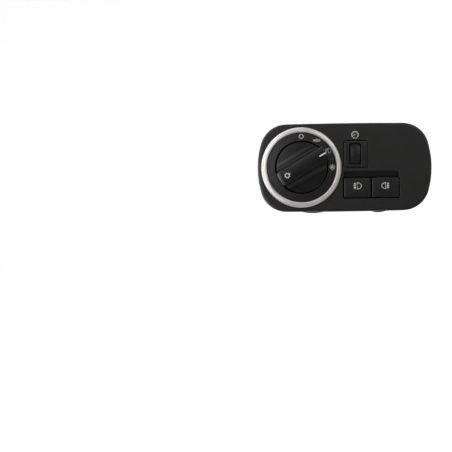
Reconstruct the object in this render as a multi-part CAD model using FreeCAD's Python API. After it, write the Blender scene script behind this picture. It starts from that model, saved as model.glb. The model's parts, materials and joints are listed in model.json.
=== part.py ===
"""Dashboard headlight switch: a rotary lamp knob, a dimmer thumbwheel and two fog lamp buttons on one panel.

Frame, in millimetres: +X to the driver's right, +Z up, -Y out of the dashboard towards the driver.
The origin is the middle of the panel on the plane where its rim seats on the dashboard, so the face
and the knob lie at negative Y, and the carrier, board and housing lie at positive Y.

Stack from front to rear: knob, trim ring and dial plate, panel face, carrier plate, rotor with its
detent spring, circuit board, rear housing with its connector socket.
"""

import FreeCAD
import Part

import math
import os

from FreeCAD import Vector

# Panel: a bowed oblong with rounder ends, fitted to the outline seen from the front.
PANEL_WIDTH = 130.8
PANEL_HEIGHT = 66.6
PANEL_SIDE_RADIUS = 68.0
PANEL_BOW_RADIUS = 2800.0
PANEL_CORNER_RADIUS = 20.0
PANEL_DEPTH = 8.0
PANEL_WALL = 2.5
PANEL_EDGE_ROUND = 1.8
OPENING_ROUND = 0.4         # front edges of the panel's openings
PANEL_RIB_X = (46.0, 51.0, 56.0)

# Trim ring and dial, both about the knob's axis.
RING_RADIUS = 30.05
RING_MARGIN = 2.35          # ring to the panel's left end
RING_BORE_RADIUS = 26.1
RING_RISE = 4.0             # crown above the panel's face
RING_SLEEVE_WALL = 0.9
RING_GROOVE_DEPTH = 0.4
RING_LIP = 0.9              # how far the lip laps over the dial
RING_LUG_REACH = 0.7
RING_CROWN_DROP = 1.5       # crest to the outer shoulder
DIAL_RISE = 2.4             # dial's rim above the panel's face
DIAL_DOME_RADIUS = 170.0    # the dial and the knob's disc lie on one shallow dome
DIAL_THICKNESS = 1.4
DIAL_WALL = 1.0
DIAL_BORE_RADIUS = 19.85
DIAL_BORE_ROUND = 0.35

# Knob: a domed disc with a grip bar across it, and a concave flank on each side of the bar.
KNOB_CLEARANCE = 0.95       # disc to the dial's bore
KNOB_WALL = 2.0
KNOB_SKIRT = 5.4            # dial's rim back to the knob's rear edge
KNOB_RIM_ROUND = 0.6
KNOB_RIB = 1.1
BAR_HEIGHT = 11.1           # bar's crest above the dial's rim
BAR_CROWN = 0.55            # crest above the top's long edges
BAR_OVERHANG = 1.4          # bar past the disc at each end
BAR_FOOT_HALF_WIDTH = 5.65
BAR_TOP_HALF_WIDTH = 5.2
BAR_FLANK_RADIUS = 7.0
BAR_POINTER_ROUND = 0.9     # edge rounding at the pointer end
BAR_TAIL_ROUND = 2.2        # and at the other end
BAR_RUNNING_GAP = 0.3       # underside of the bar's ends to the dial
POINTER_ANGLE = 30.0        # from +X, anticlockwise seen by the driver: the dipped beam place
POINTER_START_RADIUS = 13.9
POINTER_WIDTH = 0.95
POINTER_DEPTH = 1.0
POINTER_WRAP = 2.4          # how far the pointer runs down the bar's end
HUB_RADIUS = 5.2
SPIGOT_RADIUS = 3.0
SPIGOT_FLAT = 2.2
SPIGOT_REACH = 5.1          # spigot past the dial's rim, into the bar

# Dimmer thumbwheel and its bezel.
DIMMER_GAP_TO_RING = 1.9    # dimmer opening to the ring, measured along X
DIMMER_WIDTH = 18.45
DIMMER_HEIGHT = 20.9
DIMMER_BASE_Z = -0.75
DIMMER_CORNER = 2.9
DIMMER_CLEARANCE = 0.35
DIMMER_PROUD = 0.6          # bezel's crest past the panel's face
DIMMER_CROWN_RADIUS = 120.0 # bezel's face is crowned across its height
DIMMER_EDGE_ROUND = 0.8
DIMMER_FLANGE = 1.5
DIMMER_SLOT_WIDTH = 8.8
DIMMER_SLOT_HEIGHT = 16.0
DIMMER_SLOT_OFFSET_X = -0.5 # slot's middle from the bezel's middle
DIMMER_SLOT_OFFSET_Z = 0.25
DIMMER_SLOT_CORNER = 1.6
DIMMER_SLOT_ROUND = 0.4
WHEEL_RADIUS = 12.0
WHEEL_WIDTH = 7.3
WHEEL_PROUD = 1.9           # wheel's rim past the panel's face
WHEEL_CROWN = 0.3
WHEEL_EDGE_ROUND = 0.6
WHEEL_GROOVES = 60
WHEEL_GROOVE_DEPTH = 0.22
AXLE_RADIUS = 1.5
EAR_THICKNESS = 1.6
EAR_HALF_WIDTH = 3.2
EAR_BACK = 2.6              # ear past the axle's centre
EAR_GAP = 0.75              # ear to the wheel's side
POT_THICKNESS = 5.0
POT_HALF_WIDTH = 4.8
POT_GAP = 0.4               # ear to the potentiometer

# Fog lamp buttons, side by side in one pocket with a sunk ledge above them.
POCKET_LEFT_OFFSET = -0.75  # pocket's left edge from the dimmer opening's left edge
POCKET_WIDTH = 42.65
POCKET_TOP_Z = -3.3
POCKET_HEIGHT = 20.5
POCKET_CORNER = 1.6
LEDGE_HEIGHT = 4.1
LEDGE_INSET = 0.6           # ledge narrower than the pocket at each end
LEDGE_DEPTH = 2.4           # at the buttons, where the ledge's sloping floor is deepest
LEDGE_TOP_DEPTH = 1.3
LEDGE_END_LEAN = 1.0        # how far each end wall leans in over the depth
LEDGE_FLOOR = 1.0
BUTTON_CLEARANCE = 0.75
BUTTON_SPACING = 0.95
BUTTON_PROUD = 0.6
BUTTON_FACE = 1.8
BUTTON_CROWN_RADIUS = 75.0  # faces are crowned across their height
BUTTON_WALL = 1.3
BUTTON_SKIRT = 8.1
BUTTON_DRAFT = 0.15         # skirt wider at its rear edge than at the face, on each side
BUTTON_TRAVEL = 2.2
BUTTON_EDGE_ROUND = 0.85
BUTTON_CORNER = 1.0
BUTTON_STEM = 5.0
BUTTON_LUG_WIDTH = 8.0
BUTTON_LUG_LAP = 0.55       # lug behind the edge of the opening
STEM_CLEARANCE = 0.15

# Carrier: the frame behind the face that carries the rotor, the dial and the buttons.
CARRIER_THICKNESS = 2.0
CLAMP_RIB_HEIGHT = 1.0
CLAMP_RIB_WIDTH = 3.0
BEARING_WALL = 2.1
BEARING_LENGTH = 12.2
GUSSET_RADIUS = 13.0
GUSSET_THICKNESS = 1.1
GUSSET_ANGLES = (0.0, 60.0, 120.0, 180.0, 240.0, 300.0)
TRAY_MARGIN = 1.2
TRAY_WALL = 1.5
TRAY_FLOOR_Y = 2.0
CHIMNEY_WALL = 1.4
CHIMNEY_LENGTH = 5.0

# Rotor, detent and stops.
SHAFT_RADIUS = 4.0
SHAFT_CLEARANCE = 0.05
ROTOR_RADIUS = 14.0
ROTOR_THICKNESS = 4.0
ROTOR_GAP = 0.3
DETENT_PITCH = 30.0
DETENT_BUMP_RADIUS = 1.3
DETENT_CLEARANCE = 0.3
DETENT_DEPTH = 0.7
SPRING_THICKNESS = 0.4
SPRING_WIDTH = 2.8
SPRING_HALF_LENGTH = 12.5
STOP_TAB_REACH = 2.6
STOP_TAB_HALF_ANGLE = 10.0
STOP_TAB_ANGLE = 75.0
STOP_POST_RADIUS = 1.5
STOP_ANGLE_GAP = 0.8
TURN_TO_OFF = 60.0          # anticlockwise from rest
TURN_TO_AUTO = 30.0         # clockwise from rest
TAIL_PIN_RADIUS = 2.0
WIPER_THICKNESS = 0.3
WIPER_RADII = (5.6, 8.2, 10.8)
WIPER_LIFT = 0.1            # wiper's tips to the board's tracks
TRACK_THICKNESS = 0.1
TRACK_START = -45.0
TRACK_SPAN = 120.0

# Circuit board.
BOARD_FRONT_Y = 15.5
BOARD_THICKNESS = 1.6
BOARD_MARGIN = 2.0
CHIP_SIDE = 10.0
CHIP_LEG = 1.2
CHIP_Z = 4.0
LED_SIZE = 3.0
LED_HEIGHT = 1.0
DOME_RADIUS = 4.2
DOME_BASE = 1.0
DOME_GAP = 0.3              # stem's end to the dome's top

# Rear housing, its socket and its fastenings.
HOUSING_GAP = 1.0           # housing to the inside of the panel's skirt
SNAP_ROOM = 1.3             # extra at each end, for the snap arms
HOUSING_WALL = 2.0
SNAP_ARM_Z = 12.0
SNAP_ARM_WIDTH = 6.0
SNAP_ARM_THICKNESS = 1.4
SNAP_ARM_GAP = 0.45         # arm to the inside of the skirt
SNAP_HOOK_REACH = 0.9       # hook into the housing's wall
HOUSING_REAR_Y = 28.0
TUNNEL_RADIUS = 4.2
TUNNEL_WALL = 1.0
TUNNEL_FRONT_Y = 1.0
TUNNEL_FLOOR = 2.0
BOSS_RADIUS = 3.0
SCREW_RADIUS = 1.25
SCREW_HEAD_RADIUS = 2.6
SCREW_HEAD_HEIGHT = 2.0
SCREW_CLEARANCE = 0.05
POST_RADIUS = 2.6
SOCKET_X = 34.0
SOCKET_Z = 8.0
SOCKET_WIDTH = 25.0
SOCKET_HEIGHT = 13.0
SOCKET_WALL = 1.6
SOCKET_DEPTH = 14.0
PIN_COLUMNS = 6
PIN_ROWS = 2
PIN_PITCH = 2.5
PIN_SIDE = 0.64
PIN_REACH = 8.0             # pin into the socket
HOOK_X = (-22.6, 27.2)
HOOK_WIDTHS = (19.5, 12.6)
HOOK_TIP_RISE = 1.2         # tip's bow across the hook
HOOK_PAST_PANEL = 0.75
DASH_SKIN = 2.6             # rim to the hook: the dashboard skin that they grip
HOOK_THICKNESS = 4.0
CLIP_WIDTH = 8.0
CLIP_THICKNESS = 0.5
CLIP_RISE = 2.7
VENT_X = (-46.0, -42.0, -38.0, -34.0, -30.0)
VENT_WIDTH = 1.8
VENT_HALF_HEIGHT = 8.0
REAR_RIB_X = (-14.0, -4.0, 6.0)
REAR_RIB_WIDTH = 1.4
REAR_RIB_HEIGHT = 1.0
SOCKET_GUSSET = 4.0

# Places worked out from the sizes above.
FACE_Y = -PANEL_DEPTH
WALL_Y = FACE_Y + PANEL_WALL
CARRIER_Y = WALL_Y + CLAMP_RIB_HEIGHT
CARRIER_REAR_Y = CARRIER_Y + CARRIER_THICKNESS
DIAL_Y = FACE_Y - DIAL_RISE
DIAL_X = -PANEL_WIDTH / 2 + RING_MARGIN + RING_RADIUS
DIAL_RADIUS = RING_BORE_RADIUS + RING_LIP - 0.1
SLEEVE_BORE = RING_BORE_RADIUS + RING_LIP
SLEEVE_RADIUS = SLEEVE_BORE + RING_SLEEVE_WALL
DIAL_HOLE_RADIUS = SLEEVE_RADIUS + 0.2
KNOB_RADIUS = DIAL_BORE_RADIUS - KNOB_CLEARANCE
BAR_RADIUS = KNOB_RADIUS + BAR_OVERHANG
BAR_TOP_Y = DIAL_Y - BAR_HEIGHT
DIMMER_LEFT = DIAL_X + RING_RADIUS + DIMMER_GAP_TO_RING
DIMMER_MID_X = DIMMER_LEFT + DIMMER_WIDTH / 2
DIMMER_MID_Z = DIMMER_BASE_Z + DIMMER_HEIGHT / 2
SLOT_X = DIMMER_MID_X + DIMMER_SLOT_OFFSET_X
SLOT_Z = DIMMER_MID_Z + DIMMER_SLOT_OFFSET_Z
WHEEL_Y = FACE_Y - WHEEL_PROUD + WHEEL_RADIUS
EAR_INNER = WHEEL_WIDTH / 2 + EAR_GAP
EAR_OUTER = EAR_INNER + EAR_THICKNESS
POT_LEFT = SLOT_X + EAR_OUTER + POT_GAP
POCKET_LEFT = DIMMER_LEFT + POCKET_LEFT_OFFSET
POCKET_RIGHT = POCKET_LEFT + POCKET_WIDTH
POCKET_BOTTOM = POCKET_TOP_Z - POCKET_HEIGHT
LEDGE_BOTTOM = POCKET_TOP_Z - LEDGE_HEIGHT
LEDGE_LEFT = POCKET_LEFT + LEDGE_INSET
LEDGE_RIGHT = POCKET_RIGHT - LEDGE_INSET
TRAY_RIGHT = POCKET_RIGHT + TRAY_MARGIN + TRAY_WALL
BUTTON_WIDTH = (POCKET_WIDTH - 2 * BUTTON_CLEARANCE - BUTTON_SPACING) / 2
BUTTON_LEFT = (POCKET_LEFT + BUTTON_CLEARANCE, POCKET_RIGHT - BUTTON_CLEARANCE - BUTTON_WIDTH)
BUTTON_TOP = LEDGE_BOTTOM - BUTTON_CLEARANCE
BUTTON_BOTTOM = POCKET_BOTTOM + BUTTON_CLEARANCE
BUTTON_MID_Z = (BUTTON_TOP + BUTTON_BOTTOM) / 2
BUTTON_FRONT_Y = FACE_Y - BUTTON_PROUD
ROTOR_Y = CARRIER_Y + BEARING_LENGTH + ROTOR_GAP
ROTOR_REAR_Y = ROTOR_Y + ROTOR_THICKNESS
NOTCH_RADIUS = DETENT_BUMP_RADIUS + DETENT_CLEARANCE
NOTCH_CENTRE = ROTOR_RADIUS - DETENT_DEPTH + NOTCH_RADIUS
STOP_POST_CENTRE = ROTOR_RADIUS + STOP_POST_RADIUS + 0.1
BOARD_REAR_Y = BOARD_FRONT_Y + BOARD_THICKNESS
STEM_END_Y = BOARD_FRONT_Y - DOME_BASE - 3.3
GUIDE_LEG_ANGLES = (30.0, 150.0, 270.0)
GUIDE_LEG_RADIUS = 1.2
GUIDE_LEG_PITCH_RADIUS = DIAL_BORE_RADIUS + DIAL_WALL + GUIDE_LEG_RADIUS + 0.25
OUT = Vector(0, -1, 0)      # out of the panel, towards the driver


def corner_centre():
    """Centre of the panel's upper right corner arc, which is tangent to the side's arc and to the top's."""
    side = Vector(PANEL_WIDTH / 2 - PANEL_SIDE_RADIUS, 0, 0)
    bow = Vector(0, 0, PANEL_HEIGHT / 2 - PANEL_BOW_RADIUS)
    reach_side = PANEL_SIDE_RADIUS - PANEL_CORNER_RADIUS
    reach_bow = PANEL_BOW_RADIUS - PANEL_CORNER_RADIUS
    apart = side.distanceToPoint(bow)
    along = (bow - side).normalize()
    across = Vector(-along.z, 0, along.x)
    step = (reach_side**2 - reach_bow**2 + apart**2) / (2 * apart)
    rise = math.sqrt(reach_side**2 - step**2)
    return max((side + along * step + across * (s * rise) for s in (1, -1)), key=lambda p: p.x + p.z)


def dome_y(radius):
    """Y of the dome that the dial's face and the knob's disc share, at a radius from the knob's axis."""
    return DIAL_Y + math.sqrt(DIAL_DOME_RADIUS**2 - RING_BORE_RADIUS**2) - math.sqrt(DIAL_DOME_RADIUS**2 - radius**2)


BAR_FOOT_Y = dome_y(DIAL_BORE_RADIUS) - BAR_RUNNING_GAP
CORNER = corner_centre()
HOUSING_CORNER = PANEL_CORNER_RADIUS - PANEL_WALL - HOUSING_GAP
HOUSING_HALF_X = CORNER.x + HOUSING_CORNER - SNAP_ROOM
HOUSING_HALF_Z = CORNER.z + HOUSING_CORNER
INNER_HALF_X = HOUSING_HALF_X - HOUSING_WALL
INNER_HALF_Z = HOUSING_HALF_Z - HOUSING_WALL
HOUSING_FLOOR_Y = HOUSING_REAR_Y - HOUSING_WALL
SCREW_PLACES = [
    (x, side * z)
    for x, z in (
        (DIAL_X + 23.9, INNER_HALF_Z - 5.5),
        (max(HOUSING_HALF_X - 8.5, TRAY_RIGHT + TUNNEL_RADIUS + 1.0), HOUSING_HALF_Z - 10.0),
    )
    for side in (1, -1)
]
BOARD_POSTS = [
    (-INNER_HALF_X + 7.5, INNER_HALF_Z - 10.0),
    (-INNER_HALF_X + 7.5, 10.0 - INNER_HALF_Z),
    (INNER_HALF_X - 6.0, 0.0),
    (DIMMER_LEFT - 2.7, -2.0),
]
CHIP_X = DIMMER_LEFT - 2.7 - POST_RADIUS - CHIP_SIDE / 2 - CHIP_LEG - 0.1


def about_dial(radius, angle):
    """X and Z of a point at a radius and an angle, in degrees from +X, about the knob's axis."""
    turn = math.radians(angle)
    return DIAL_X + radius * math.cos(turn), radius * math.sin(turn)


def drum(x, z, radius, front, rear):
    """A cylinder along Y."""
    return Part.makeCylinder(radius, rear - front, Vector(x, front, z), Vector(0, 1, 0))


def block(x0, x1, z0, z1, front, rear):
    """A plain box between two corners."""
    return Part.makeBox(x1 - x0, rear - front, z1 - z0, Vector(x0, front, z0))


def thick(wire, front, rear):
    """A solid with the outline of a wire drawn in the XZ plane."""
    face = Part.Face(wire)
    face.translate(Vector(0, front, 0))
    return face.extrude(Vector(0, rear - front, 0))


def rounded_rectangle(x0, x1, z0, z1, radius):
    """A closed wire in the XZ plane with four equal corner arcs."""
    edges = []
    diagonal = radius * (1 - math.sqrt(0.5))
    corners = [(x1, z1, 1, 1), (x0, z1, -1, 1), (x0, z0, -1, -1), (x1, z0, 1, -1)]
    ends = []
    for x, z, sx, sz in corners:
        beside = Vector(x, 0, z - sz * radius)
        along = Vector(x - sx * radius, 0, z)
        middle = Vector(x - sx * diagonal, 0, z - sz * diagonal)
        first, last = (beside, along) if sx * sz > 0 else (along, beside)
        ends.append((first, middle, last))
    for number, (first, middle, last) in enumerate(ends):
        edges.append(Part.Arc(first, middle, last).toShape())
        edges.append(Part.LineSegment(last, ends[(number + 1) % 4][0]).toShape())
    return Part.Wire(edges)


def rounded_block(x0, x1, z0, z1, radius, front, rear):
    """A box whose four edges along Y are rounded."""
    return thick(rounded_rectangle(x0, x1, z0, z1, radius), front, rear)


def turned(points, x=0.0, z=0.0):
    """A solid turned about an axis along Y from (radius, y) points, with an arc where a middle point is given."""
    edges = []
    here = points[0]
    for step in points[1:] + points[:1]:
        start = Vector(here[0], here[1], 0)
        if len(step) == 4:
            edges.append(Part.Arc(start, Vector(step[0], step[1], 0), Vector(step[2], step[3], 0)).toShape())
            here = step[2:]
        else:
            edges.append(Part.LineSegment(start, Vector(step[0], step[1], 0)).toShape())
            here = step
    solid = Part.Face(Part.Wire(edges)).revolve(Vector(0, 0, 0), Vector(0, 1, 0), 360)
    solid.translate(Vector(x, 0, z))
    return solid


def joined(first, *others):
    """One solid from several that touch, with no leftover seams."""
    return first.fuse(list(others)).removeSplitter()


def front_edges(solid, y, band=0.0):
    """Edges that lie wholly in the plane at y, or between it and a plane a band further back."""
    return [e for e in solid.Edges if e.BoundBox.YMin > y - 0.01 and e.BoundBox.YMax < y + band + 0.01]


def crowned(solid, front, radius):
    """A solid whose face at front is crowned across its height, as a shallow arc about its middle."""
    box = solid.BoundBox
    middle = (box.ZMin + box.ZMax) / 2
    crest = Part.makeCylinder(radius, box.XLength + 2, Vector(box.XMin - 1, front + radius, middle), Vector(1, 0, 0))
    return solid.common(crest)


def crown_drop(radius, height):
    """How far a crowned face falls away from its middle to its top and bottom edges."""
    return radius - math.sqrt(radius**2 - (height / 2) ** 2)


def bowed_outline(inset):
    """The panel's outline moved inwards: bowed long edges, round ends and four tangent corner arcs."""
    half_x = PANEL_WIDTH / 2 - inset
    half_z = PANEL_HEIGHT / 2 - inset
    side_r = PANEL_SIDE_RADIUS - inset
    bow_r = PANEL_BOW_RADIUS - inset
    corner_r = PANEL_CORNER_RADIUS - inset
    side = Vector(half_x - side_r, 0, 0)
    bow = Vector(0, 0, half_z - bow_r)
    corner = CORNER
    on_side = side + (corner - side).normalize() * side_r
    on_top = bow + (corner - bow).normalize() * bow_r
    outward = ((on_side - corner).normalize() + (on_top - corner).normalize()).normalize()
    on_corner = corner + outward * corner_r
    edges = []
    for sx, sz in ((1, 1), (-1, 1), (-1, -1), (1, -1)):
        places = [Vector(sx * p.x, 0, sz * p.z) for p in (on_side, on_corner, on_top)]
        edges.append(Part.Arc(*places).toShape())
    for s in (1, -1):
        low, high = Vector(s * on_side.x, 0, -on_side.z), Vector(s * on_side.x, 0, on_side.z)
        edges.append(Part.Arc(low, Vector(s * half_x, 0, 0), high).toShape())
        left, right = Vector(-on_top.x, 0, s * on_top.z), Vector(on_top.x, 0, s * on_top.z)
        edges.append(Part.Arc(left, Vector(0, 0, s * half_z), right).toShape())
    return Part.Wire(Part.__sortEdges__(edges))


def housing_outline(inset):
    """The rear housing's outline moved inwards."""
    x, z = HOUSING_HALF_X - inset, HOUSING_HALF_Z - inset
    return rounded_rectangle(-x, x, -z, z, HOUSING_CORNER - inset)


def snap_arm(side):
    """A cantilever hook beside the dial that holds the left end of the rear housing."""
    root, nose, tip = WALL_Y, 4.2, 7.0
    wall_radius = PANEL_SIDE_RADIUS - PANEL_WALL
    far = SNAP_ARM_Z + SNAP_ARM_WIDTH / 2
    sag = wall_radius - math.sqrt(wall_radius**2 - far**2)
    outer = PANEL_WALL + SNAP_ARM_GAP + sag - PANEL_WIDTH / 2
    inner = outer + SNAP_ARM_THICKNESS
    hook = -HOUSING_HALF_X + SNAP_HOOK_REACH
    corners = [(outer, root), (inner, root), (inner, nose), (hook, nose), (hook, nose + 0.8), (inner, tip), (outer, tip)]
    wire = Part.makePolygon([Vector(x, y, 0) for x, y in corners + corners[:1]])
    arm = Part.Face(wire).extrude(Vector(0, 0, SNAP_ARM_WIDTH))
    arm.translate(Vector(0, 0, side * SNAP_ARM_Z - SNAP_ARM_WIDTH / 2))
    return arm


def ledge_room():
    """The hollow of the sunk ledge: its floor slopes down to the buttons and its end walls lean in."""
    low = LEDGE_BOTTOM - 3.0
    slope = (LEDGE_DEPTH - LEDGE_TOP_DEPTH) / LEDGE_HEIGHT
    high, deep = FACE_Y + LEDGE_TOP_DEPTH, FACE_Y + LEDGE_DEPTH
    lean = LEDGE_END_LEAN
    mouth = rounded_rectangle(LEDGE_LEFT, LEDGE_RIGHT, low, POCKET_TOP_Z, POCKET_CORNER)
    mouth.translate(Vector(0, FACE_Y, 0))
    back = rounded_rectangle(LEDGE_LEFT + lean, LEDGE_RIGHT - lean, low, POCKET_TOP_Z - 0.1, POCKET_CORNER)
    back.translate(Vector(0, deep, 0))
    room = Part.makeLoft([mouth, back], True, True)
    corners = [(high, POCKET_TOP_Z), (high + slope * (POCKET_TOP_Z - low + 1), low - 1), (deep + 4, low - 1), (deep + 4, POCKET_TOP_Z)]
    wire = Part.makePolygon([Vector(LEDGE_LEFT - 1, y, z) for y, z in corners + corners[:1]])
    return room.cut(Part.Face(wire).extrude(Vector(LEDGE_RIGHT - LEDGE_LEFT + 2, 0, 0)))


def make_bezel_panel():
    """The moulded front panel with its skirt, openings, ledge, bosses and snap arms."""
    body = thick(bowed_outline(0.0), FACE_Y, 0.0)
    body = body.makeFillet(PANEL_EDGE_ROUND, front_edges(body, FACE_Y))
    body = body.cut(thick(bowed_outline(PANEL_WALL), WALL_Y, 0.0))
    rib = thick(housing_outline(0.0), WALL_Y, CARRIER_Y)
    rib = rib.cut(thick(housing_outline(CLAMP_RIB_WIDTH), WALL_Y, CARRIER_Y))
    rib = rib.cut(drum(DIAL_X, 0, DIAL_HOLE_RADIUS + 1.2, WALL_Y, CARRIER_Y))
    floor_rear = FACE_Y + LEDGE_DEPTH + LEDGE_FLOOR
    pad = block(POCKET_LEFT - 1.0, POCKET_RIGHT + 1.0, LEDGE_BOTTOM, POCKET_TOP_Z + 1.0, WALL_Y, floor_rear)
    bosses = [drum(x, z, BOSS_RADIUS, WALL_Y, TUNNEL_FRONT_Y - 0.1) for x, z in SCREW_PLACES]
    ribs = [block(x - 0.5, x + 0.5, 3.0 - CORNER.z - HOUSING_CORNER, CORNER.z + HOUSING_CORNER - 3.0, WALL_Y, CARRIER_Y - 0.1)
            for x in PANEL_RIB_X if x > TRAY_RIGHT]
    arms = [snap_arm(side) for side in (1, -1)]
    body = body.fuse([rib, pad] + ribs + bosses + arms)
    openings = [
        drum(DIAL_X, 0, DIAL_HOLE_RADIUS, FACE_Y - 1, WALL_Y + 1),
        drum(DIAL_X, 0, RING_RADIUS + 0.15, FACE_Y - 1, FACE_Y + RING_GROOVE_DEPTH),
        rounded_block(DIMMER_LEFT, DIMMER_LEFT + DIMMER_WIDTH, DIMMER_BASE_Z, DIMMER_BASE_Z + DIMMER_HEIGHT,
                      DIMMER_CORNER, FACE_Y - 1, CARRIER_Y),
        ledge_room(),
        rounded_block(POCKET_LEFT, POCKET_RIGHT, POCKET_BOTTOM, LEDGE_BOTTOM, POCKET_CORNER, FACE_Y - 1, 0.0),
    ]
    bores = [drum(x, z, SCREW_RADIUS + SCREW_CLEARANCE, WALL_Y + 0.6, TUNNEL_FRONT_Y) for x, z in SCREW_PLACES]
    body = body.cut(openings + bores).removeSplitter()
    rims = [e for e in front_edges(body, FACE_Y) if e.BoundBox.XMin > POCKET_LEFT - 0.5 and e.BoundBox.XMax < POCKET_RIGHT + 0.5]
    return body.makeFillet(OPENING_ROUND, rims)


def make_trim_ring():
    """The silver ring: a crowned band, a lip over the dial, a sleeve through the panel and three lugs."""
    foot = FACE_Y + RING_GROOVE_DEPTH
    crown = FACE_Y - RING_RISE
    sleeve_end = CARRIER_Y - 0.1
    shoulder = RING_RADIUS - 0.3
    crest = RING_BORE_RADIUS + 1.0
    band = turned([
        (SLEEVE_RADIUS, foot),
        (RING_RADIUS, foot),
        (RING_RADIUS, FACE_Y - 0.6),
        (shoulder, crown + RING_CROWN_DROP),
        ((shoulder + crest) / 2 + 0.35, crown + RING_CROWN_DROP * 0.32, crest, crown),
        (RING_BORE_RADIUS + 0.35, crown + 0.15, RING_BORE_RADIUS + 0.05, crown + 0.6),
        (RING_BORE_RADIUS, DIAL_Y - 0.2),
        (RING_BORE_RADIUS, DIAL_Y),
        (SLEEVE_BORE, DIAL_Y),
        (SLEEVE_BORE, sleeve_end),
        (SLEEVE_RADIUS, sleeve_end),
    ], DIAL_X)
    lug_profile = [(SLEEVE_BORE, WALL_Y + 0.05), (SLEEVE_RADIUS + RING_LUG_REACH, WALL_Y + 0.05),
                   (SLEEVE_RADIUS, sleeve_end), (SLEEVE_BORE, sleeve_end)]
    lug_ring = turned(lug_profile, DIAL_X)
    lugs = []
    for angle in (90.0, 210.0, 330.0):
        x, z = about_dial(SLEEVE_RADIUS, angle)
        lugs.append(lug_ring.common(drum(x, z, 3.0, WALL_Y, CARRIER_Y)))
    return joined(band, *lugs)


def make_dial_plate():
    """The black ring that carries the lamp symbols, standing on the carrier by two walls."""
    inner = DIAL_BORE_RADIUS + DIAL_WALL
    outer = DIAL_RADIUS - DIAL_WALL
    back = DIAL_Y + DIAL_THICKNESS
    edge = DIAL_BORE_RADIUS + DIAL_BORE_ROUND
    bend = DIAL_BORE_ROUND * (1 - math.sqrt(0.5))
    middle = (edge + RING_BORE_RADIUS) / 2
    return turned([
        (DIAL_BORE_RADIUS, dome_y(edge) + DIAL_BORE_ROUND),
        (DIAL_BORE_RADIUS + bend, dome_y(edge) + bend, edge, dome_y(edge)),
        (middle, dome_y(middle), RING_BORE_RADIUS, DIAL_Y),
        (DIAL_RADIUS, DIAL_Y), (DIAL_RADIUS, CARRIER_Y), (outer, CARRIER_Y), (outer, back), (inner, back),
        (inner, CARRIER_Y), (DIAL_BORE_RADIUS, CARRIER_Y),
    ], DIAL_X)


def make_dial_light_guide():
    """The clear ring behind the dial, with three legs that reach back to lamps on the board."""
    inner = DIAL_BORE_RADIUS + DIAL_WALL + 0.1
    outer = DIAL_RADIUS - DIAL_WALL - 0.1
    front = DIAL_Y + DIAL_THICKNESS + 0.05
    ring = turned([(inner, front), (outer, front), (outer, CARRIER_Y), (inner, CARRIER_Y)], DIAL_X)
    leg_end = BOARD_FRONT_Y - LED_HEIGHT - 0.3
    legs = [drum(*about_dial(GUIDE_LEG_PITCH_RADIUS, a), GUIDE_LEG_RADIUS, CARRIER_Y, leg_end) for a in GUIDE_LEG_ANGLES]
    return joined(ring, *legs)


def swung(shape):
    """Turns a piece drawn with its bar along +X to the pointer's angle, and moves it to the knob's axis."""
    shape.rotate(Vector(0, 0, 0), OUT, POINTER_ANGLE)
    shape.translate(Vector(DIAL_X, 0, 0))
    return shape


def bar_prism(foot):
    """The bar's drafted section with its crowned top, along X, from a foot plane outwards."""
    edge = BAR_TOP_Y + BAR_CROWN
    low, high = Vector(0, foot, -BAR_FOOT_HALF_WIDTH), Vector(0, foot, BAR_FOOT_HALF_WIDTH)
    left, right = Vector(0, edge, -BAR_TOP_HALF_WIDTH), Vector(0, edge, BAR_TOP_HALF_WIDTH)
    edges = [
        Part.LineSegment(low, high).toShape(),
        Part.LineSegment(high, right).toShape(),
        Part.Arc(right, Vector(0, BAR_TOP_Y, 0), left).toShape(),
        Part.LineSegment(left, low).toShape(),
    ]
    prism = Part.Face(Part.Wire(edges)).extrude(Vector(2 * BAR_RADIUS + 2, 0, 0))
    prism.translate(Vector(-BAR_RADIUS - 1, 0, 0))
    return prism


def grip_bar():
    """The bar with its ends cut round and its top edges rounded, more at the tail than at the pointer."""
    bar = bar_prism(BAR_FOOT_Y).common(drum(0, 0, BAR_RADIUS, BAR_TOP_Y - 1, DIAL_Y))
    tail = [e for e in front_edges(bar, BAR_TOP_Y, BAR_CROWN) if e.BoundBox.XMax < -BAR_RADIUS / 2]
    bar = bar.makeFillet(BAR_TAIL_ROUND, tail)
    rest = [e for e in front_edges(bar, BAR_TOP_Y, BAR_CROWN) if e.BoundBox.XMax > 0]
    return bar.makeFillet(BAR_POINTER_ROUND, rest)


def knob_outside():
    """The knob's outer form, drawn with the bar along X about the origin."""
    rear = DIAL_Y + KNOB_SKIRT
    disc = turned([(0.0, dome_y(0.0)), (KNOB_RADIUS / 2, dome_y(KNOB_RADIUS / 2), KNOB_RADIUS, dome_y(KNOB_RADIUS)),
                   (KNOB_RADIUS, rear), (0.0, rear)])
    core = bar_prism(DIAL_Y + 1).common(drum(0, 0, KNOB_RADIUS, BAR_TOP_Y + 1.6, DIAL_Y + 1))
    body = disc.fuse(core).removeSplitter()
    feet = [e for e in body.Edges
            if e.BoundBox.XLength > KNOB_RADIUS and e.BoundBox.ZLength < 1.0 and abs(e.BoundBox.Center.z) > 1.0
            and e.BoundBox.YMin > dome_y(0.0) - 0.1 and e.BoundBox.YMax < DIAL_Y]
    body = body.makeFillet(BAR_FLANK_RADIUS, feet)
    rim_y = dome_y(KNOB_RADIUS)
    rim = [e for e in body.Edges if abs(e.BoundBox.YMin - rim_y) < 0.02 and abs(e.BoundBox.YMax - rim_y) < 0.02]
    body = body.makeFillet(KNOB_RIM_ROUND, rim)
    return joined(body, grip_bar())


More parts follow.
